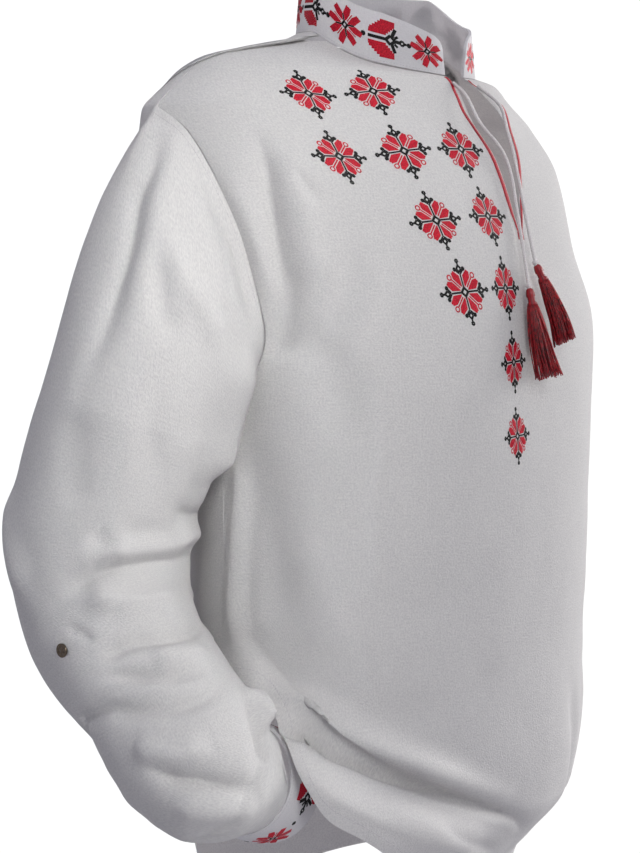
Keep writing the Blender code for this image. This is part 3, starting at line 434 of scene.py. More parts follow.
def thick(points, faces, wall, uv):
    """A sheet of faces given its thickness inwards, closed round its edges."""
    normals, count = normals_of(points, faces), len(points)
    inner = points - normals * wall
    edges = np.stack([faces, np.roll(faces, -1, axis=1)], -1).reshape(-1, 2)
    known = {(int(a), int(b)) for a, b in edges if a != b}
    rim = np.array([e for e in known if (e[1], e[0]) not in known])
    # the rim has points of its own, so that the light turns sharply at the cloth's edge
    corners = np.vstack([points[rim[:, 0]], inner[rim[:, 0]], inner[rim[:, 1]], points[rim[:, 1]]])
    n = len(rim)
    k = 2 * count + np.arange(n)
    rim_faces = np.stack([k, k + n, k + 2 * n, k + 3 * n], -1)
    rim_uv = uv[np.concatenate([rim[:, 0], rim[:, 0], rim[:, 1], rim[:, 1]])]
    all_faces = np.vstack([faces, faces[:, ::-1] + count, rim_faces])
    return np.vstack([points, inner, corners]), all_faces, np.vstack([uv, uv, rim_uv])


class Cloth:
    """The outer face of one cloth piece, which stitches and other pieces are laid on."""

    def __init__(self, points, faces):
        """Keeps the face as a tree in which the nearest place is quickly found."""
        self.tree = BVHTree.FromPolygons(points.tolist(), faces.tolist())

    def lay(self, points, off):
        """The points brought down on the cloth and lifted off it by a height."""
        out = np.empty((len(points), 3))
        for k, p in enumerate(points.tolist()):
            at, n = self.tree.find_nearest(p)[:2]
            out[k] = at + n * float(off[k])
        return out


# ---- materials
def linear(code):
    """An sRGB hex colour as linear values, fully opaque."""
    parts = [int(code[k:k + 2], 16) / 255 for k in (1, 3, 5)]
    return (*[c / 12.92 if c <= 0.04045 else ((c + 0.055) / 1.055) ** 2.4 for c in parts], 1.0)


def node(tree, kind, settings=None, values=None, links=None):
    """Adds one node; a link comes from another node's first output, or from (node, output)."""
    made = tree.nodes.new("ShaderNode" + kind)
    for name, value in (settings or {}).items():
        setattr(made, name, value)
    for name, value in (values or {}).items():
        made.inputs[name].default_value = value
    for name, source in (links or {}).items():
        start, output = source if isinstance(source, tuple) else (source, 0)
        tree.links.new(start.outputs[output], made.inputs[name])
    return made


def fresh(name):
    """A new material and its emptied node tree."""
    material = bpy.data.materials.new(name)
    material.use_nodes = True
    material.node_tree.nodes.clear()
    return material, material.node_tree


def bleached_linen(name, light, shade, relief=1.0):
    """Plain-woven linen and cotton, bleached: matt off-white and crisp, with a fine pebbled grain and slubs.

    The real threads are 0.5 mm apart, too fine to show, so the grain is drawn 1.6 mm apart.
    """
    grain_apart, slub_wide, slub_long = 1.6 * MM, 1.4 * MM, 11 * MM
    material, tree = fresh(name)
    place = node(tree, "UVMap", {"uv_map": "cloth metres"})
    # slubs: threads that thicken for a centimetre or so, up the cloth and across it
    warp_at = node(tree, "Mapping", {}, {"Scale": (1 / slub_wide, 1 / slub_long, 1)}, {"Vector": place})
    weft_at = node(tree, "Mapping", {},
                   {"Scale": (1 / slub_long, 1 / slub_wide, 1), "Location": (3.1, 7.7, 0)}, {"Vector": place})
    warp = node(tree, "TexNoise", {}, {"Scale": 1.0, "Detail": 0.0}, {"Vector": warp_at})
    weft = node(tree, "TexNoise", {}, {"Scale": 1.0, "Detail": 0.0}, {"Vector": weft_at})
    slubs = node(tree, "Math", {"operation": "MAXIMUM"}, {}, {0: warp, 1: weft})
    # the grain, where the tight threads pebble the cloth; the same pattern paints its pits in the shade
    # colour, as painted shade
    grain = node(tree, "TexNoise", {}, {"Scale": 1 / grain_apart, "Detail": 2.0, "Roughness": 0.6},
                 {"Vector": place})
    weave = node(tree, "Mix", {"data_type": "FLOAT"}, {0: 0.22}, {2: grain, 3: slubs})
    # worn cloth is lightly crumpled between its folds, in creases 30 mm wide and 55 mm long
    crumple_at = node(tree, "Mapping", {}, {"Scale": (1 / 0.030, 1 / 0.055, 1)}, {"Vector": place})
    crumple = node(tree, "TexNoise", {}, {"Scale": 1.0, "Detail": 2.0, "Roughness": 0.45},
                   {"Vector": crumple_at})
    creased = node(tree, "Bump", {}, {"Strength": 0.22 * relief, "Distance": 4 * MM}, {"Height": crumple})
    pebbled = node(tree, "Bump", {}, {"Strength": 0.75 * relief, "Distance": 0.9 * MM},
                   {"Height": weave, "Normal": creased})
    # the grain's colour: partly the cloth's own uneven tone, partly painted shade, with the weave's low
    # places in the shade colour and its raised threads in the light colour
    tone = node(tree, "MapRange", {}, {"From Min": 0.35, "From Max": 0.65}, {"Value": weave})
    colour = node(tree, "Mix", {"data_type": "RGBA"}, {6: linear(shade), 7: linear(light)}, {0: tone})
    cloth = node(tree, "BsdfPrincipled", {}, {"Roughness": 0.86, "IOR": 1.46, "Sheen Weight": 0.08,
                                              "Sheen Roughness": 0.5, "Specular IOR Level": 0.2},
                 {"Base Color": (colour, 2), "Normal": pebbled})
    # thin linen lets part of the light through to the inside
    shine_through = node(tree, "BsdfTranslucent", {}, {"Color": linear("#e8e4e4")})
    both = node(tree, "MixShader", {}, {0: 0.40}, {1: cloth, 2: shine_through})
    node(tree, "OutputMaterial", {}, {}, {"Surface": both})
    return material


def stitched_thread(name, colour, deep, sheen):
    """Polyester embroidery thread laid flat: a soft gloss along each stitch, and painted shade, a darker copy
    of its colour mixed in by a ply pattern.
    """
    material, tree = fresh(name)
    place = node(tree, "TexCoord")
    # the thread's ply, in its colour and in painted shade; the real 0.3 mm is too fine to show, so it is
    # drawn at 0.9 mm
    ply = node(tree, "TexNoise", {}, {"Scale": 1 / (0.9 * MM), "Detail": 1.0}, {"Vector": (place, "Object")})
    tone = node(tree, "MapRange", {}, {"From Min": 0.35, "From Max": 0.65}, {"Value": ply})
    mix = node(tree, "Mix", {"data_type": "RGBA"}, {6: linear(deep), 7: linear(colour)}, {0: tone})
    thread = node(tree, "BsdfPrincipled", {}, {"Roughness": 0.50, "IOR": 1.5, "Sheen Weight": sheen,
                                               "Sheen Roughness": 0.35, "Specular IOR Level": 0.2},
                  {"Base Color": (mix, 2)})
    node(tree, "OutputMaterial", {}, {}, {"Surface": thread})
    return material


def cotton_cord(name, colour, deep):
    """Twisted cotton: matt and fuzzy, a little warmer than the cloth, with grey painted shade mixed in by its
    fuzz.
    """
    material, tree = fresh(name)
    place = node(tree, "TexCoord")
    # the fuzz of loose fibres, in tufts 0.6 mm apart
    fuzz = node(tree, "TexNoise", {}, {"Scale": 1 / (0.6 * MM), "Detail": 2.0}, {"Vector": (place, "Object")})
    # the fuzz's low places take the grey, which is painted shade
    tone = node(tree, "MapRange", {}, {"From Min": 0.3, "From Max": 0.7}, {"Value": fuzz})
    mix = node(tree, "Mix", {"data_type": "RGBA"}, {6: linear(deep), 7: linear(colour)}, {0: tone})
    bump = node(tree, "Bump", {}, {"Strength": 0.4, "Distance": 0.3 * MM}, {"Height": fuzz})
    cotton = node(tree, "BsdfPrincipled", {}, {"Roughness": 0.9, "Sheen Weight": 0.1,
                                               "Specular IOR Level": 0.15},
                  {"Base Color": (mix, 2), "Normal": bump})
    node(tree, "OutputMaterial", {}, {}, {"Surface": cotton})
    return material


def tassel_viscose(name, bright, deep):
    """Viscose thread of a tassel: dark wine red, with a silky gloss on the strands that lie outermost."""
    material, tree = fresh(name)
    place = node(tree, "UVMap", {"uv_map": "cloth metres"})
    # the first of the two numbers is each strand's own, so strands differ in tone between the bright red, a
    # painted highlight, and the deep wine red, painted shade
    strand_at = node(tree, "Mapping", {}, {"Scale": (1.0, 6.0, 1)}, {"Vector": place})
    strand = node(tree, "TexNoise", {}, {"Scale": 5.0, "Detail": 1.0}, {"Vector": strand_at})
    tone = node(tree, "MapRange", {}, {"From Min": 0.30, "From Max": 0.60}, {"Value": strand})
    mix = node(tree, "Mix", {"data_type": "RGBA"}, {6: linear(deep), 7: linear(bright)}, {0: tone})
    silk = node(tree, "BsdfPrincipled", {}, {"Roughness": 0.36, "IOR": 1.5, "Sheen Weight": 0.08,
                                             "Sheen Roughness": 0.3}, {"Base Color": (mix, 2)})
    node(tree, "OutputMaterial", {}, {}, {"Surface": silk})
    return material


def aged_bronze(name):
    """Cast bronze gone brown: dark in its hollows and rubbed brighter, still metal."""
    material, tree = fresh(name)
    place = node(tree, "TexCoord")
    # rubbed patches 1.5 mm across
    wear = node(tree, "TexNoise", {}, {"Scale": 1 / (1.5 * MM), "Detail": 3.0}, {"Vector": (place, "Object")})
    mix = node(tree, "Mix", {"data_type": "RGBA"}, {6: linear("#3b332c"), 7: linear("#8d7f6d")}, {0: wear})
    metal = node(tree, "BsdfPrincipled", {}, {"Roughness": 0.32, "Metallic": 1.0}, {"Base Color": (mix, 2)})
    node(tree, "OutputMaterial", {}, {}, {"Surface": metal})
    return material


def studio_paper(name):
    """Seamless white studio paper, so well lit that it reads as white."""
    material, tree = fresh(name)
    path = node(tree, "LightPath")
    paper = node(tree, "BsdfPrincipled", {}, {"Roughness": 0.95, "Base Color": linear("#c4c4c8")})
    white = node(tree, "Emission", {}, {"Color": linear("#ffffff"), "Strength": 1.05})
    both = node(tree, "MixShader", {}, {}, {0: (path, "Is Camera Ray"), 1: paper, 2: white})
    node(tree, "OutputMaterial", {}, {}, {"Surface": both})
    return material


# each linen's two colours are the cloth lit and the cloth in painted shade, mixed by its grain
LINEN = bleached_linen("bleached linen", "#e8e8e5", "#c8c8c8")
BAND_LINEN = bleached_linen("interfaced linen of collar and cuffs", "#e4e4e5", "#d4d4d6", 0.6)
# each thread's second colour is the same thread in painted shade
RED = stitched_thread("red embroidery thread", "#cc1730", "#94091f", 0.05)
SATIN = stitched_thread("red satin-stitch thread", "#b80f2c", "#860a20", 0.0)
BLACK = stitched_thread("black embroidery thread", "#11100f", "#060606", 0.0)
WHITE = stitched_thread("white sewing thread", "#dddadb", "#c3c0c3", 0.1)
# the cord's grey is painted shade
CORD = cotton_cord("twisted cotton cord", "#e0dcda", "#b9b4b4")
# the tassel's bright red is a painted highlight and its deep red painted shade
TASSEL = tassel_viscose("tassel thread", "#a90a1a", "#3a0209")
BRONZE = aged_bronze("aged bronze")


# ---- the cloth pieces
CLOTH_WALL, CUFF_WALL, COLLAR_WALL = 0.0011, 0.0022, 0.0024
NECK_ROWS, CHEST_ROWS = 23, 53      # rows from the neck to the armhole's start, and on to the underarm
SHOULDER_TOP, SHOULDER_END = -0.0145, -0.0740      # heights of the shoulder seam at the neck and the armhole
SLIT_SIDE = 0.25, -0.97, 0.0        # the way in which the slit's left edge stands out
# rows between the underarm and the hem, closer where the front folds over the cuff
LOW_ROWS = np.concatenate([np.linspace(0, 0.68, 64)[:-1], np.linspace(0.68, 1, 68)])


def slit_turn(side, height):
    """How far round from the centre the slit's edge lies."""
    x = curve(SLIT, height, 1 if side < 0 else 2)
    share = np.abs(x) / np.where(x < 0, curve(BODY, height, 1), curve(BODY, height, 2))
    return np.where(height <= SLIT_END, 0.0, np.copysign(np.degrees(np.arcsin(share ** (ROUND / 2))), x))


def seam_turn(front, heights):
    """The turn of a panel's side edge at each height."""
    part = ARMHOLE[:7] if front else ARMHOLE[6:][::-1]
    fine = np.linspace(part[0, 0], part[-1, 0], 400)
    z, t = curve(ARMHOLE, fine, 2), curve(ARMHOLE, fine, 1)
    order = np.argsort(z)
    out = np.interp(heights, z[order], t[order])
    return np.where((heights > ARMHOLE[0, 2]) | (heights < ARMHOLE[6, 2]), 90.0, out)


def half_rows(side, front):
    """Turns and heights over one half of the front or back, from the centre to the side."""
    corner = (62.5 if side < 0 else 38.0) if front else 49.5      # the column where neck and shoulder meet
    at_neck, at_shoulder = (47, 58) if front and side < 0 else (34, 42)     # columns, closer where most shows
    c = np.concatenate([np.linspace(0, corner, at_neck), np.linspace(corner, 90, at_shoulder)[1:]])
    along_neck = c <= corner + 1e-9
    slit_edge = abs(float(curve(SLIT, -0.045, 1 if side < 0 else 2)))
    first = math.degrees(math.asin(slit_edge / NECK_WIDE)) if front else 0.0
    t = first + (87 - first) * np.clip(c / corner, 0, 1)
    p = neck(side * (t if front else 180 - t))
    top_turn = np.where(along_neck, np.abs(turn_at(p)[0]), 90.0)
    top_z = np.where(along_neck, p[:, 2],
                     SHOULDER_TOP + (SHOULDER_END - SHOULDER_TOP) * (c - corner) / (90 - corner))
    edge = abs(float(slit_turn(side, SEAM_START))) if front else 0.0
    base_turn = edge + (90 - edge) * c / 90 if front else 180 - c
    rows = []
    for s in np.linspace(0, 1, NECK_ROWS + 1)[:-1] ** 0.9:
        rows.append((top_turn + (base_turn - top_turn) * s, top_z + (SEAM_START - top_z) * s))
    for z in np.linspace(SEAM_START, UNDERARM, CHEST_ROWS + 1)[:-1]:
        edge = abs(float(slit_turn(side, z))) if front else 0.0
        stop = float(seam_turn(front, np.array(z)))
        rows.append((edge + (stop - edge) * c / 90 if front else 180 - (180 - stop) * c / 90, 0 * c + z))
    hem = curve(HEM, side * (c if front else 180 - c), 1)
    for s in LOW_ROWS if front else LOW_ROWS[::2]:
        rows.append((c if front else 180 - c, UNDERARM + (hem - UNDERARM) * s))
    return np.array([(side * t, z) for t, z in rows])      # rows, 2, columns


SLIT_ROW = NECK_ROWS + int(round(CHEST_ROWS * (SEAM_START - SLIT_END) / (SEAM_START - UNDERARM)))


def panel(front):
    """The front, open down its slit, or the back: points, faces and their places on the flat cloth."""
    points, place, faces, shared = [], [], [], None
    for side in (-1, 1):
        rows = half_rows(side, front)
        turn, z = rows[:, 0], rows[:, 1]
        p = torso(turn, z)
        if front and side > 0:
            lift = curve(SLIT, z, 3) * np.exp(-((turn - slit_turn(1, z)) / 8.0) ** 2) * (z > SLIT_END)
            p = p + np.array(SLIT_SIDE) * lift[..., None]
        n_rows, n_cols = turn.shape
        ids = np.arange(n_rows * n_cols).reshape(n_rows, n_cols) + sum(len(q) for q in points)
        if side > 0:
            joined = np.arange(n_rows) >= (SLIT_ROW if front else 0)
            ids[joined, 0] = shared[joined]
        shared = ids[:, 0].copy()
        points.append(p.reshape(-1, 3))
        step = np.linalg.norm(np.diff(p, axis=1), axis=2)
        from_centre = np.concatenate([np.zeros((n_rows, 1)), np.cumsum(step, axis=1)], axis=1)
        across = from_centre * side * (1 if front else -1)
        place.append(np.stack([across, z], -1).reshape(-1, 2))
        a, b, c, d = ids[:-1, :-1], ids[1:, :-1], ids[1:, 1:], ids[:-1, 1:]
        f = np.stack([a, b, c, d], -1).reshape(-1, 4)
        faces.append(f if (side > 0) == front else f[:, ::-1])
    points, place, faces = np.vstack(points), np.vstack(place), np.vstack(faces)
    used = np.unique(faces)
    renumber = np.zeros(len(points), int)
    renumber[used] = np.arange(len(used))
    points, place, faces = points[used], place[used], renumber[faces]
    normals = normals_of(points, faces)
    move = fold_depth(points, normals, BODY_FOLDS, torso)
    move += rumple(points, 1 if front else 2, 0.085, 0.0013) + rumple(points, 3, 0.032, 0.0004)
    return points + normals * move[:, None], faces, place


def arm(side, folds, along, round_):
    """One sleeve from the armhole to the cuff, with so many points along it and round it."""
    last = len(SLEEVES[side])
    t = last * np.linspace(0, 1, along) ** 1.15
    about = 180 + np.arange(round_) * 360 / round_      # from the seam under the arm, all the way round
    turn = about % 360
    raw = sleeve(side, t[:, None], turn[None])
    faces = grid(along, round_, closed=True)
    if side > 0:
        faces = faces[:, ::-1]
    flat = raw.reshape(-1, 3)
    normals = normals_of(flat, faces)
    move = fold_depth(flat, normals, folds, lambda a, b: sleeve(side, a, b))
    move += rumple(flat, 5 + side, 0.075, 0.0016) + rumple(flat, 9 + side, 0.03, 0.0005)
    moved = (flat + normals * move[:, None]).reshape(raw.shape)
    ends = np.clip((last - t) / 0.5, 0, 1)[:, None, None]
    moved = raw + (moved - raw) * ends
    room = (0.0033 + 0.0035 * np.clip(t * 2.5, 0, 1))[:, None] + 0 * turn
    moved = clear_of_body(moved, room)
    line = torso(side * curve(ARMHOLE, turn, 1), curve(ARMHOLE, turn, 2))
    out = way_out(side * curve(ARMHOLE, turn, 1), curve(ARMHOLE, turn, 2))
    moved[0] = line + out * (CLOTH_WALL + 0.0006)
    radius = np.concatenate([[0.085], SLEEVES[side][:, 6]])
    girth = np.interp(t, np.arange(last + 1), radius)[:, None] * np.radians(about)[None]
    step = np.linalg.norm(np.diff(moved, axis=0), axis=2).mean(1)
    down = -np.concatenate([[0], np.cumsum(step)])[:, None] + 0 * girth
    return moved.reshape(-1, 3), faces, np.stack([girth, down], -1).reshape(-1, 2)


def band(rings, closed, normal_out, uv):
    """A collar or cuff from its rows of points."""
    r, c = rings.shape[:2]
    faces = grid(r, c, closed)
    if not normal_out:
        faces = faces[:, ::-1]
    return rings.reshape(-1, 3), faces, uv.reshape(-1, 2)


def cuff_point(side, s, turn):
    """A point of a cuff's outer face: s is 0 at the sleeve and 1 at the wrist, turn in degrees."""
    s, turn = np.broadcast_arrays(np.asarray(s, float), np.asarray(turn, float))
    row, (d, a, b), t = SLEEVES[side][-1], [v[-1] for v in ARMS[side]], np.radians(turn)[..., None]
    grow = (0.0006 + 0.0016 * np.sin(math.pi * np.clip(s, 0, 1)) ** 0.5 + 0.0012 * s)[..., None]
    return (row[:3] + d * (0.0005 + CUFF_LONG * s)[..., None] + a * (row[6] + grow) * np.cos(t)
            + b * (row[7] + grow) * np.sin(t))


def cuff(side):
    """The band at the end of a sleeve."""
    turn = 180 + np.arange(96) * 360 / 96
    s = np.linspace(0, 1, 16)[:, None]
    uv = np.stack([np.radians(turn) * SLEEVES[side][-1, 6] + 0 * s, 0 * turn - s * CUFF_LONG], -1)
    return band(cuff_point(side, s, turn), True, side < 0, uv)


COLLAR_HIGH = 0.042
CORNER = np.array([
    # degrees from the collar's end, how much lower its top edge is there
    (0.0, 0.0200), (0.6, 0.0178), (1.6, 0.0152), (4.0, 0.0125), (9.0, 0.0092), (16.0, 0.0068), (30.0, 0.0025),
    (45.0, 0.0), (180.0, 0.0),
])
COLLAR_RIGHT = -math.degrees(math.asin(0.013 / NECK_WIDE))
COLLAR_LEFT = math.degrees(math.asin(0.012 / NECK_WIDE)) - 360


def collar_point(t, share):
    """A point of the collar's outer face; share is 0 at its foot and 1 at its top."""
    t, share = np.broadcast_arrays(np.asarray(t, float), np.asarray(share, float))
    foot = neck(t)
    end_right, end_left = (COLLAR_RIGHT - t), (t - COLLAR_LEFT)
    high = COLLAR_HIGH - curve(CORNER, np.minimum(end_right, end_left), 1)
    out = unit(np.stack([foot[..., 0], foot[..., 1] + 0.003, 0 * t], -1))
    flare = 0.006 * np.clip(1 - end_left / 14.0, 0, 1)
    up = np.zeros(foot.shape)
    up[..., 2] = 0.0009 + high * share
    return foot + up + out * (flare * share - 0.0035 * share - 0.0004)[..., None]


def collar():
    """The stand collar, open at the front with rounded corners."""
    even = np.linspace(0, 1, 150)
    ease = (1 - np.cos(math.pi * even)) / 2
    t, share = np.meshgrid(COLLAR_RIGHT + (COLLAR_LEFT - COLLAR_RIGHT) * (0.5 * ease + 0.5 * even),
                           np.linspace(0, 1, 16), indexing="ij")
    uv = np.stack([np.radians(t) * NECK_WIDE, share * COLLAR_HIGH], -1)
    return band(collar_point(t, share), False, False, uv)


def make_cloth(name, node_name, shape, wall, material):
    """One cloth piece made thick, and its outer face to sew on."""
    points, faces, uv = shape
    solid, closed, place = thick(points, faces, wall, uv)
    return piece(name, node_name, solid, closed, material, place, "linen"), Cloth(points, faces)


front, FRONT = make_cloth("linen_front", "shirt_front", panel(True), CLOTH_WALL, LINEN)
back, BACK = make_cloth("linen_back", "shirt_back", panel(False), CLOTH_WALL, LINEN)
right_arm, RIGHT_ARM = make_cloth(
    "linen_right_sleeve", "right_sleeve", arm(-1, RIGHT_FOLDS, 210, 140), CLOTH_WALL, LINEN)
left_arm, LEFT_ARM = make_cloth(
    "linen_left_sleeve", "left_sleeve", arm(1, LEFT_FOLDS, 140, 100), CLOTH_WALL, LINEN)
right_cuff, RIGHT_CUFF = make_cloth("linen_right_cuff", "right_cuff", cuff(-1), CUFF_WALL, BAND_LINEN)
left_cuff, LEFT_CUFF = make_cloth("linen_left_cuff", "left_cuff", cuff(1), CUFF_WALL, BAND_LINEN)
collar_band, COLLAR = make_cloth("linen_collar", "collar", collar(), COLLAR_WALL, BAND_LINEN)
# what is sewn on each cloth piece, by the piece's name
SEWN_ON = {thing.name: [] for thing in (front, back, right_arm, left_arm, right_cuff, left_cuff, collar_band)}


# ---- embroidery: stitches are rows of x0, y0, x1, y1 in mm on the flat cloth
def fill(shape, angle, pitch=0.55, step=0.0, longest=5.0):
    """Stitches side by side that fill a shape; with a step its edge is stepped, as on counted cloth."""
    c, s = math.cos(math.radians(angle)), math.sin(math.radians(angle))
    there = np.array([[c, s], [-s, c]])
    p = np.array(shape) @ there.T
    out = []
    for n, y in enumerate(np.arange(p[:, 1].min() + pitch / 2, p[:, 1].max(), pitch)):
        level = (math.floor(y / step) + 0.5) * step if step else y
        cuts = sorted(a[0] + (level - a[1]) * (b[0] - a[0]) / (b[1] - a[1])
                      for a, b in zip(p, np.roll(p, -1, axis=0)) if (a[1] > level) != (b[1] > level))
        for x0, x1 in zip(cuts[::2], cuts[1::2]):
            inner = np.arange(math.floor(x0 / longest) * longest + (n % 3) * longest / 3, x1, longest)
            ends = [x0, *[x for x in inner if x0 + 0.8 < x < x1 - 0.8], x1]
            out += [(u, y, v, y) for u, v in zip(ends, ends[1:])]
    out = np.array(out).reshape(-1, 4)
    return np.hstack([out[:, :2] @ there, out[:, 2:] @ there])


def across(line, width, pitch=0.6):
    """Short stitches side by side across a line."""
    out = []
    for a, b in zip(np.array(line[:-1], float), np.array(line[1:], float)):
        long = np.linalg.norm(b - a)
        many, side = max(1, round(long / pitch)), np.array([a[1] - b[1], b[0] - a[0]]) / long * width / 2
        for k in range(many):
            m = a + (b - a) * (k + 0.5) / many
            out.append((*(m - side), *(m + side)))
    return np.array(out)


def round_path(x, y, radius, corners=10):
    """A closed ring as a many-cornered line."""
    turns = [2 * math.pi * k / corners for k in range(corners + 1)]
    return [(x + radius * math.cos(turn), y + radius * math.sin(turn)) for turn in turns]


def diamond(x, y, across_, up):
    """A closed diamond as a line."""
    return [(x - across_, y), (x, y + up), (x + across_, y), (x, y - up), (x - across_, y)]


def mapped(stitches, m):
    """Stitches turned or flipped."""
    return np.hstack([stitches[:, :2] @ np.transpose(m), stitches[:, 2:] @ np.transpose(m)])


QUARTERS = [np.array([[c, -s], [s, c]]) for c, s in ((1, 0), (0, 1), (-1, 0), (0, -1))]
FLIPS = [np.diag([1, 1]), np.diag([1, -1])]


def eightfold(petal, pin, arm_, middle):
    """A whole motif from one petal, one pin between petals, one arm and its middle."""
    return {"red": np.vstack([mapped(petal, q @ f) for q in QUARTERS for f in FLIPS]
                             + [mapped(pin, q) for q in QUARTERS]),
            "black": np.vstack([mapped(arm_, q) for q in QUARTERS] + [middle])}


def rose():
    """The eight-petalled rose with a lattice at the end of each arm, 52 mm from tip to tip."""
    petal = fill([(3.9, 1.3), (13.0, 1.8), (17.0, 6.9), (15.2, 9.5), (10.8, 8.8), (5.0, 3.1)], 114)
    pin = np.vstack([across([(3.6, 3.6), (10.8, 10.8)], 1.2), across(round_path(12.3, 12.3, 2.0), 1.1)])
    arm_ = np.vstack([across([(2.8, 0), (14.6, 0)], 1.5), across(diamond(18.2, 0, 2.8, 2.3), 1.9),
                      across([(14.6, 0.6), (17.2, 3.6)], 1.8), across([(14.6, -0.6), (17.2, -3.6)], 1.8),
                      fill(round_path(18.0, 4.5, 1.8), 0), fill(round_path(18.0, -4.5, 1.8), 0),
                      across([(20.6, 0), (23.0, 0)], 1.8), across(diamond(24.4, 0, 1.4, 1.6), 1.7)])
    return eightfold(petal, pin, arm_, across(diamond(0, 0, 3.4, 3.4), 2.1))


def star():
    """The small eight-petalled star of the bands."""
    petal = fill([(3.0, 0.9), (8.6, 0.8), (9.4, 0.2), (16.0, 4.7), (13.0, 8.6), (8.0, 6.4), (4.1, 2.6)], 114)
    pin = across([(3.0, 3.0), (8.6, 8.6)], 0.9)
    arm_ = across([(2.4, 0), (8.8, 0)], 1.3)
    return eightfold(petal, pin, arm_, across(diamond(0, 0, 2.6, 2.6), 1.7))


def bud():
    """The bud of the bands: two stepped leaves, a stem and a lattice that points along the band."""
    leaf = fill([(-19.5, 2.9), (-5.6, 2.7), (3.4, 11.4), (3.6, 15.6), (-8.0, 16.2), (-18.9, 7.6)],
                0, 0.6, 1.8)
    arm_ = np.vstack([across([(1.4, 3.4), (4.2, 10.2)], 3.0), across([(3.6, 2.4), (6.4, 4.6)], 2.2)])
    stem = [across([(-19.4, 0), (-3.4, 0)], 2.7), across(diamond(0, 0, 3.9, 3.9), 2.6),
            across([(3.6, 0), (8.2, 0)], 3.1), across(diamond(10.2, 0, 2.3, 2.3), 2.0),
            across([(12.4, 0), (14.2, 0)], 2.2)]
    return {"red": np.vstack([mapped(leaf, f) for f in FLIPS]),
            "black": np.vstack(stem + [mapped(arm_, f) for f in FLIPS])}


def dot():
    """The dot between a star and a bud."""
    return {"red": np.zeros((0, 4)), "black": fill(round_path(0, 0, 2.1, 12), 0)}


def threads(name, ends, cloth, material, width=0.70, high=0.34):
    """Stitches between pairs of points, laid on a cloth as low rounded threads. Sizes in mm."""
    ends = np.asarray(ends, float).reshape(-1, 2, 3)
    long = np.linalg.norm(ends[:, 1] - ends[:, 0], axis=1)
    points, faces, count = [], [], 0
    for short in (True, False):
        some = ends[(long <= 0.0024) == short]
        if not len(some):
            continue
        middle = some.mean(1)
        out = np.array([cloth.tree.find_nearest(p)[1][:] for p in middle.tolist()])
        side = unit(np.cross(out, some[:, 1] - some[:, 0])) * width * MM / 2
        along = np.array([0, 0.5, 1]) if short else np.array([0, 0.14, 0.5, 0.86, 1])
        rise = np.array([0.15, 1, 0.15]) if short else np.array([0.1, 0.9, 1, 0.9, 0.1])
        p = some[:, None, 0] + (some[:, None, 1] - some[:, None, 0]) * along[None, :, None]
        p = p[:, :, None] + side[:, None, None] * np.array([-1, 0, 1])[None, None, :, None]
        off = (0.03 + (high - 0.03) * rise[:, None] * np.array([0.1, 1, 0.1])) * MM + np.zeros(p.shape[:3])
        points.append(cloth.lay(p.reshape(-1, 3), off.ravel()))
        each = len(along) * 3
        firsts = count + np.arange(len(some)) * each
        faces.append((grid(len(along), 3)[None] + firsts[:, None, None]).reshape(-1, 4))
        count += len(some) * each
    return piece(name, None, np.vstack(points), np.vstack(faces)[:, ::-1], material)


def sewn(line, every=2.8, long=2.1):
    """Pairs of points for a row of machine stitches along a line of points. Sizes in mm."""
    line = np.asarray(line, float)
    reach = np.concatenate([[0], np.cumsum(np.linalg.norm(np.diff(line, axis=0), axis=1))])
    start = np.arange(0.001, reach[-1] - long * MM, every * MM)
    ends = [[np.interp(x, reach, line[:, k]) for k in range(3)] for x in (start, start + long * MM)]
    return np.transpose(ends, (2, 0, 1))


def worked(places, cloth, name, thing):
    """Motifs worked on one cloth in red and black; each place turns a drawing's mm into points in space."""
    for colour, material in (("red", RED), ("black", BLACK)):
        ends = [at(motif[colour].reshape(-1, 2)).reshape(-1, 2, 3) for at, motif in places]
        SEWN_ON[thing.name].append(threads(f"{colour}_stitches_{name}", np.vstack(ends), cloth, material))


ROSES = [  # height, turn, and how the drawing's right and up lie on the cloth, 1 being full size
    (-0.0702, -45.4, (0.90, -0.06), (-0.30, 0.90)), (-0.0658, -28.6, (1.06, 0.16), (-0.22, 0.88)),
    (-0.1216, -41.7, (0.87, -0.03), (-0.36, 0.88)), (-0.1155, -25.7, (1.05, 0.17), (-0.26, 0.94)),
    (-0.1108, -10.2, (1.05, 0.04), (-0.04, 1.02)), (-0.1712, -23.2, (0.96, 0.12), (-0.35, 0.93)),
    (-0.1659, -8.7, (0.84, 0.02), (-0.17, 0.98)), (-0.2282, -19.6, (0.93, 0.10), (-0.24, 1.04)),
    (-0.2246, -7.8, (0.62, 0.01), (-0.03, 1.03)), (-0.2848, -8.1, (0.57, 0.07), (0.01, 0.98)),
    (-0.3450, -8.0, (0.58, 0.07), (-0.09, 0.90)),
]


def flat_on_body(height, turn, right, up):
    """Turns mm on the flat cloth into points on the body round a place."""
    n = way_out(np.array(float(turn)), np.array(float(height)))
    u = unit(np.cross([0, 0, 1.0], n))
    v, start = np.cross(n, u), torso(turn, height)
    right, up = u * right[0] + v * right[1], u * up[0] + v * up[1]
    return lambda xy: start + (xy[:, :1] * right + xy[:, 1:] * up) * MM


def flat_on_collar(t, way, lean=0.0):
    """The same on the collar: way is 1 if the drawing runs to the right-hand end, lean turns it."""
    c, s = math.cos(math.radians(lean)), math.sin(math.radians(lean))
    return lambda xy: collar_point(t + way * np.degrees((c * xy[:, 0] - s * xy[:, 1]) * MM / NECK_WIDE),
                                   0.5 + (s * xy[:, 0] + c * xy[:, 1]) * MM / COLLAR_HIGH)


def flat_on_cuff(side, turn):
    """The same on a cuff, a little below its middle; the drawing runs towards lower turns."""
    return lambda xy: cuff_point(side, 0.56 - xy[:, 1] * MM / CUFF_LONG,
                                 turn - np.degrees(xy[:, 0] * MM / CUFF_RADIUS))


ROSE, STAR, BUD, DOT = rose(), star(), bud(), dot()
worked([(flat_on_body(*row), ROSE) for row in ROSES], FRONT, "front", front)
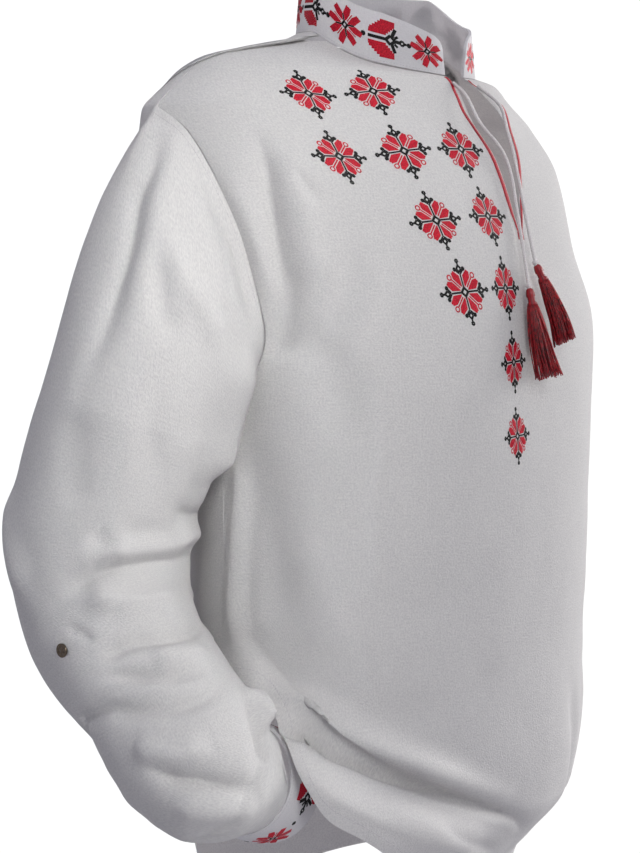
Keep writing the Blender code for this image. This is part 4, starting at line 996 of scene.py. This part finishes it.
# the collar: seven stars with a bud between each two, all buds pointing to the nearer end
COLLAR_STARS, STAR_FROM_END = 7, 12.7
first, last = COLLAR_RIGHT - STAR_FROM_END, COLLAR_LEFT + STAR_FROM_END
step = (last - first) / (COLLAR_STARS - 1)
stars = [(flat_on_collar(first + step * k, 1, 14 * np.sign(3 - k)), STAR) for k in range(COLLAR_STARS)]
buds = []
for k in range(COLLAR_STARS - 1):
    way = 1 if k < 3 else -1
    middle = first + step * (k + 0.5 - 0.047 * way)
    buds += [(flat_on_collar(middle, way), BUD), (flat_on_collar(middle + way * 11.7, way), DOT),
             (flat_on_collar(middle - way * 16.8, way), DOT)]
worked(stars + buds, COLLAR, "collar", collar_band)
# the cuffs: a bud and a star three times round, with a dot before and after each bud
for side, cloth, name, thing, phase in ((-1, RIGHT_CUFF, "right_cuff", right_cuff, 69),
                                        (1, LEFT_CUFF, "left_cuff", left_cuff, 60)):
    places = [(flat_on_cuff(side, phase + 120 * k + off), motif)
              for k in range(3) for off, motif in ((0, BUD), (-28, DOT), (-55, STAR), (36, DOT))]
    worked(places, cloth, name, thing)

# the slit is oversewn in red satin stitch down both edges, with a bar across its foot
SATIN_STEP = -0.52 * MM
ends = []
for side, top in ((-1, -0.0465), (1, -0.0475)):
    z = np.arange(top, SLIT_END, SATIN_STEP)
    edge = slit_turn(side, z) + side * 0.10
    lift = np.array(SLIT_SIDE) * (curve(SLIT, z, 3) * (side > 0))[:, None]
    wide = np.interp(z, [SLIT_END, -0.165, -0.150, -0.060], [1.6, 3.0, 4.4, 3.6]) * MM
    far_edge = edge + side * np.degrees(wide / curve(BODY, z, 1))
    ends.append(np.stack([torso(edge, z) + lift, torso(far_edge, z) + lift], 1))
z = np.arange(SLIT_END, SLIT_END - 6 * MM, SATIN_STEP)
ends.append(np.stack([torso(-0.9, z), torso(0.9, z)], 1))
SEWN_ON[front.name].append(threads("red_satin_edge_of_slit", np.vstack(ends), FRONT, SATIN, 0.66, 0.5))

# machine stitching: along the hem, the collar's foot, both edges of the cuffs and round the armholes
HEM_TURNED_UP = 0.011


def hem_stitches(turns):
    """Stitches along the hem, over a range of turns."""
    return sewn(torso(turns, curve(HEM, turns, 1) + HEM_TURNED_UP))


def machine_sewn(name, stitches, cloth, thing, width=0.45, high=0.25):
    """White machine stitching on one cloth piece."""
    SEWN_ON[thing.name].append(threads(name, stitches, cloth, WHITE, width, high))


machine_sewn("hem_stitching_front", hem_stitches(np.linspace(-90, 90, 181)), FRONT, front, 0.5, 0.28)
hem_back = np.vstack([hem_stitches(np.linspace(90, 180, 91)), hem_stitches(np.linspace(-179, -90, 90))])
machine_sewn("hem_stitching_back", hem_back, BACK, back, 0.5, 0.28)
t = np.linspace(COLLAR_RIGHT - 1, COLLAR_LEFT + 1, 300)
machine_sewn("collar_foot_stitching", sewn(collar_point(t, 0.045)), COLLAR, collar_band)
turns = np.linspace(0, 360, 200)
for side, name, cuff_cloth, cuff_piece, arm_cloth, arm_piece in (
        (-1, "right", RIGHT_CUFF, right_cuff, RIGHT_ARM, right_arm),
        (1, "left", LEFT_CUFF, left_cuff, LEFT_ARM, left_arm)):
    edges = np.vstack([sewn(cuff_point(side, s, turns)) for s in (0.05, 0.95)])
    machine_sewn(f"{name}_cuff_stitching", edges, cuff_cloth, cuff_piece)
    machine_sewn(f"{name}_armhole_stitching", sewn(sleeve(side, 0.035, turns)), arm_cloth, arm_piece)


# ---- ties
def on_front(x, height, off):
    """A point above the front, where x is the distance from the centre."""
    share = abs(x) / float(curve(BODY, height, 1 if x < 0 else 2))
    p = torso(math.copysign(math.degrees(math.asin(share ** (ROUND / 2))), x), height)
    return p + np.array([0.3 * x / 0.1, -1.0, 0.0]) * off


CORD_THICK = 0.003
RIGHT_CORD = [on_front(*place) for place in (
    # from the centre, height, off the front
    (-0.0145, -0.0520, 0.0012), (-0.0165, -0.0640, 0.0085), (-0.0190, -0.0880, 0.0125),
    (-0.0080, -0.1090, 0.0115), (-0.0035, -0.1290, 0.0085), (-0.0062, -0.1540, 0.0065),
    (-0.0092, -0.1900, 0.0060), (-0.0130, -0.2235, 0.0080))]
LEFT_CORD = [on_front(*place) for place in (
    (0.0165, -0.0525, 0.0031), (0.0190, -0.0700, 0.0135), (0.0110, -0.0900, 0.0145),
    (0.0055, -0.1090, 0.0130), (0.0030, -0.1320, 0.0100), (0.0006, -0.1600, 0.0085),
    (-0.0010, -0.2040, 0.0095))]


def frame_along(way):
    """Two ways at right angles to a way and to each other."""
    u = unit(np.array([1.0, 0, 0]) - way * way[..., :1])
    return u, np.cross(way, u)


def around(u, v, corners, turn=0.0):
    """The angles of a ring's corners, and the way out of its middle to each."""
    a = turn + np.arange(corners) * 2 * math.pi / corners
    return a, u[..., None, :] * np.cos(a)[:, None] + v[..., None, :] * np.sin(a)[:, None]


def turned(start, way, profile, sides, ripple, ripples):
    """A closed round piece's points and faces from its profile: distance along a way, and radius."""
    a, out = around(*frame_along(way), sides)
    rows = [start + way * s + out * (r * (1 + ripple * np.cos(ripples * a)))[:, None] for s, r in profile]
    rows = [np.tile(rows[0].mean(0), (sides, 1))] + rows + [np.tile(rows[-1].mean(0), (sides, 1))]
    return np.vstack(rows), grid(len(rows), sides, True)[:, ::-1]


def reach_along(line):
    """How far along a line each of its points is."""
    return np.concatenate([[0], np.cumsum(np.linalg.norm(np.diff(line, axis=0), axis=1))])


KNOT = [(0.0, 0.0014), (0.0006, 0.0021), (0.0018, 0.0025), (0.0030, 0.0022), (0.0036, 0.0014)]
PLY_TURN = 0.0075       # length in which a ply goes once round the cord
INTO_TASSEL = 0.022     # how far a cord runs on inside its tassel


def cord(name, node_name, route, into):
    """A cord of three plies twisted together, with a knot where it goes into its tassel."""
    into, end, sides = unit(np.array(into)), np.array(route[-1]), 16
    route = np.array([*route, end + into * 0.010, end + into * INTO_TASSEL])
    line, fine = smooth(route, 4), smooth(route, 30)
    long, far = reach_along(line)[-1], reach_along(fine)
    s = np.linspace(0, long, int(long / (0.8 * MM)))
    p = np.stack([np.interp(s * far[-1] / long, far, fine[:, k]) for k in range(3)], -1)
    a, out = around(*frame_along(unit(np.gradient(p, axis=0))), sides)
    ply = np.abs(np.cos(1.5 * (a[None] - 2 * math.pi * s[:, None] / PLY_TURN)))
    rings = p[:, None] + out * (CORD_THICK / 2 * (0.84 + 0.16 * ply))[..., None]
    rings = np.concatenate([np.tile(p[:1, None], (1, sides, 1)), rings, np.tile(p[-1:, None], (1, sides, 1))])
    made = piece(name, node_name, rings.reshape(-1, 3), grid(len(rings), sides, True)[:, ::-1], CORD)
    knot = piece(f"{name}_knot", None, *turned(end - into * 0.0026, into, KNOT, 20, 0.10, 5), CORD)
    return made, knot, line, long


TASSEL_HEAD = [
    # distance down the head and its radius: a rounded top, two turns of binding, then the strands' flare
    (0.0, 0.0012), (0.0012, 0.0027), (0.0040, 0.0034), (0.0068, 0.0036), (0.0080, 0.0029), (0.0088, 0.0031),
    (0.0096, 0.0028), (0.0104, 0.0031), (0.0112, 0.0028), (0.0124, 0.0038), (0.0150, 0.0044),
]
HEAD_LONG, FOOT_RADIUS, HEAD_SIDES = 0.0140, 0.0036, 24
STRANDS = 112
STRAND_ROWS = np.array([0, 0.06, 0.16, 0.3, 0.45, 0.6, 0.75, 0.88, 1.0])     # shares of a strand's length
GOLDEN_TURN = 2.39996      # each strand stands this much round from the last, so they fill the foot evenly


def tassel(name, node_name, top, way, long, wide, bend):
    """A tassel: a small bound head, and strands that grow out of its foot and splay."""
    way, share = unit(np.array(way)), STRAND_ROWS
    start = np.array(top) + way * 0.0012
    u, v = frame_along(way)
    head, head_faces = turned(start, way, TASSEL_HEAD, HEAD_SIDES, 0.05, 12)
    points, faces, count = [head], [head_faces], len(head)
    row, side = np.divmod(np.arange(count), HEAD_SIDES)
    uv = [np.stack([side * 0.31, row * 0.001], -1)]
    for k in range(STRANDS):
        place, turn = math.sqrt((k + 0.5) / STRANDS), k * GOLDEN_TURN
        own = RNG.uniform(-1, 1, 6)
        length = (long - HEAD_LONG) * (1 + 0.035 * own[0])
        at_foot, at_end = FOOT_RADIUS * place, wide * place * (1 + 0.06 * own[1])
        spread = at_foot + (at_end - at_foot) * share ** (0.75 + 0.1 * own[2])
        swirl = turn + 0.22 * own[3] * share
        wave = 0.0007 * np.sin(math.pi * (share * (1.5 + own[4]) + own[5])) * share
        aside, forward = spread * np.cos(swirl) + wave, spread * np.sin(swirl) + wave
        p = (start + way * (HEAD_LONG + length * share)[:, None] + u * aside[:, None]
             + v * forward[:, None] + np.array(bend) * (share ** 2)[:, None])
        out = around(u, v, 3, turn)[1]
        points.append((p[:, None] + out * (0.00082 - 0.00030 * share)[:, None, None]).reshape(-1, 3))
        last = count + (len(share) - 1) * 3
        faces += [grid(len(share), 3, True)[:, ::-1] + count,
                  [(last, last + 1, last + 2, last + 2), (count + 2, count + 1, count, count)]]
        uv.append(np.stack([np.full(len(share) * 3, k * 0.37 + own[0]), np.repeat(share * long * 10, 3)], -1))
        count += len(share) * 3
    clean = [tuple(dict.fromkeys(f)) for f in np.vstack(faces).tolist()]
    return piece(name, node_name, np.vstack(points), clean, TASSEL, np.vstack(uv))


for side, route, way, long, wide, bend in (
        # the tassel's way down, length and half width, and how far the tips of its strands bend aside
        ("right", RIGHT_CORD, (0.02, -0.23, -0.97), 0.0740, 0.0112, (0.003, 0, 0)),
        ("left", LEFT_CORD, (0.30, -0.30, -0.90), 0.0650, 0.0100, (-0.006, 0, -0.004))):
    tie, knot, line, reach = cord(f"{side}_tie_cord", f"{side}_cord", route, way)
    hanging = tassel(f"{side}_tie_tassel", f"{side}_tassel", route[-1], way, long, wide, bend)


# ---- buttons of the roll-up tabs
def button(name, node_name, side, t, turn, off):
    """A pressed metal button: a domed middle, a ring of six beads and a rim. Sizes in mm."""
    sides = 96
    p = sleeve(side, t, turn)
    u = unit(sleeve(side, t + 0.1, turn) - sleeve(side, t - 0.1, turn))
    n = unit(p - sleeve(side, t, np.arange(0, 360, 5)).mean(0))
    n = unit(n - u * (n @ u))
    a, out = around(u, np.cross(n, u), sides)
    rings = [np.tile(p + n * (off + 2.1) * MM, (sides, 1))]
    for r in [*np.arange(0.4, 4.5, 0.4), 4.7, 5.0, 5.3, 5.6]:
        dome = 0.7 * math.cos(min(1, r / 1.8) * math.pi / 2)
        bead = 0.7 * max(0.0, 1 - ((r - 3.6) / 1.1) ** 2) * np.maximum(0, np.cos(6 * a)) ** 0.6
        rim = 0.4 * max(0.0, 1 - ((r - 5.2) / 0.4) ** 2)
        rings.append(p + n * (off + 1.4 + dome + rim + bead)[:, None] * MM + out * r * MM)
    foot = p + n * off * MM
    rings += [foot + out * 5.4 * MM, np.tile(foot, (sides, 1))]
    return piece(name, node_name, np.vstack(rings), grid(len(rings), sides, True), BRONZE)


button("right_tab_button", "right_sleeve_button", -1, 4.2, 4, 0.1)
button("left_tab_button", "left_sleeve_button", 1, 3.6, 4, -2.6)
# the tab inside the right sleeve is sewn on in a square round its button
TAB_SQUARE = [(3.96, 4), (4.08, 20), (4.32, 12), (4.20, -4), (3.96, 4)]
square = np.vstack([sleeve(-1, np.linspace(a[0], b[0], 12), np.linspace(a[1], b[1], 12))
                    for a, b in zip(TAB_SQUARE, TAB_SQUARE[1:])])
machine_sewn("right_tab_stitching", sewn(square, 2.2, 1.6), RIGHT_ARM, right_arm, 0.5, 0.35)


# ---- studio, light and camera
FLOOR_HALF, FLOOR_DOWN = 14.0, -1.45
LIGHTS = [
    # name, what it shines at, turn, rise, away, wide, high, beam in degrees, watts, colour
    ("sleeve strip", (-0.34, -0.03, -0.33), -9, 12, 1.5, 0.3, 0.9, 30, 0.64, "#fffefb"),
    ("shoulder", (-0.30, -0.03, -0.18), -22, 30, 1.5, 0.3, 0.5, 32, 0.62, "#fffefb"),
    ("side", (0, 0, -0.35), 66, 14, 3.0, 1.6, 1.6, 180, 92, "#fffdfa"),
    ("back", (0, 0, -0.35), 165, 30, 3.0, 2.0, 2.0, 180, 8, "#f6f6ff"),
]


def way_to(turn, rise):
    """The way out to a place round the shirt: turn 0 is in front, rise is above level, in degrees."""
    turn, rise = math.radians(turn), math.radians(rise)
    return Vector((math.sin(turn) * math.cos(rise), -math.cos(turn) * math.cos(rise), math.sin(rise)))


def placed(name, data, at):
    """An object put into the scene at a place."""
    thing = bpy.data.objects.new(name, data)
    bpy.context.collection.objects.link(thing)
    thing.location = at
    return thing


def studio():
    """White paper that runs into white all round, a bright sky above it, a soft light from the wearer's left
    front, two narrow strips along the right sleeve and a faint light behind."""
    mesh = bpy.data.meshes.new("studio_floor")
    corners = [(x * FLOOR_HALF, y * FLOOR_HALF, FLOOR_DOWN) for x, y in ((-1, -1), (1, -1), (1, 1), (-1, 1))]
    mesh.from_pydata(corners, [], [(0, 1, 2, 3)])
    mesh.materials.append(studio_paper("seamless studio paper"))
    placed("studio_floor", mesh, (0, 0, 0))
    world = bpy.data.worlds.new("studio")
    bpy.context.scene.world = world
    world.use_nodes = True
    tree = world.node_tree
    tree.nodes.clear()
    # what the shirt is lit by is dimmer than the white that is seen behind it, and dimmest below
    path = node(tree, "LightPath")
    place = node(tree, "TexCoord")
    split = node(tree, "SeparateXYZ", {}, {}, {"Vector": (place, "Generated")})
    strength = node(tree, "MapRange", {}, {"From Min": -0.5, "From Max": 1.0, "To Min": 0.26, "To Max": 0.74},
                    {"Value": (split, 2)})
    light = node(tree, "Background", {}, {"Color": linear("#f3f3ff")}, {"Strength": strength})
    seen = node(tree, "Background", {}, {"Color": linear("#ffffff"), "Strength": 1.05})
    both = node(tree, "MixShader", {}, {}, {0: (path, "Is Camera Ray"), 1: light, 2: seen})
    node(tree, "OutputWorld", {}, {}, {"Surface": both})
    for name, at, turn, rise, away, wide, high, beam, power, colour in LIGHTS:
        data = bpy.data.lights.new(name, "AREA")
        data.shape = "RECTANGLE"
        data.energy, data.size, data.size_y = power, wide, high
        data.color, data.spread = linear(colour)[:3], math.radians(beam)
        way = way_to(turn, rise)
        lamp = placed(name, data, Vector(at) + way * away)
        lamp.rotation_euler = way.to_track_quat("Z", "Y").to_euler()
    bpy.context.scene.view_settings.view_transform = "Standard"


def camera():
    """Level with the chest, from the wearer's right front."""
    turn, rise, away, middle = -50, 3, 1.9, Vector((0, 0, -0.35))
    right = Vector((math.cos(math.radians(turn)), math.sin(math.radians(turn)), 0))
    data = bpy.data.cameras.new("camera")
    data.lens, data.sensor_width, data.clip_start = 91.4, 36.0, 0.05
    view = placed("camera", data, middle + way_to(turn, rise) * away)
    # aimed a little above the middle and to the left of it
    aim = middle - right * 0.0553 + Vector((0, 0, 0.006))
    view.rotation_euler = (view.location - aim).to_track_quat("Z", "Y").to_euler()
    bpy.context.scene.camera = view


studio()
camera()
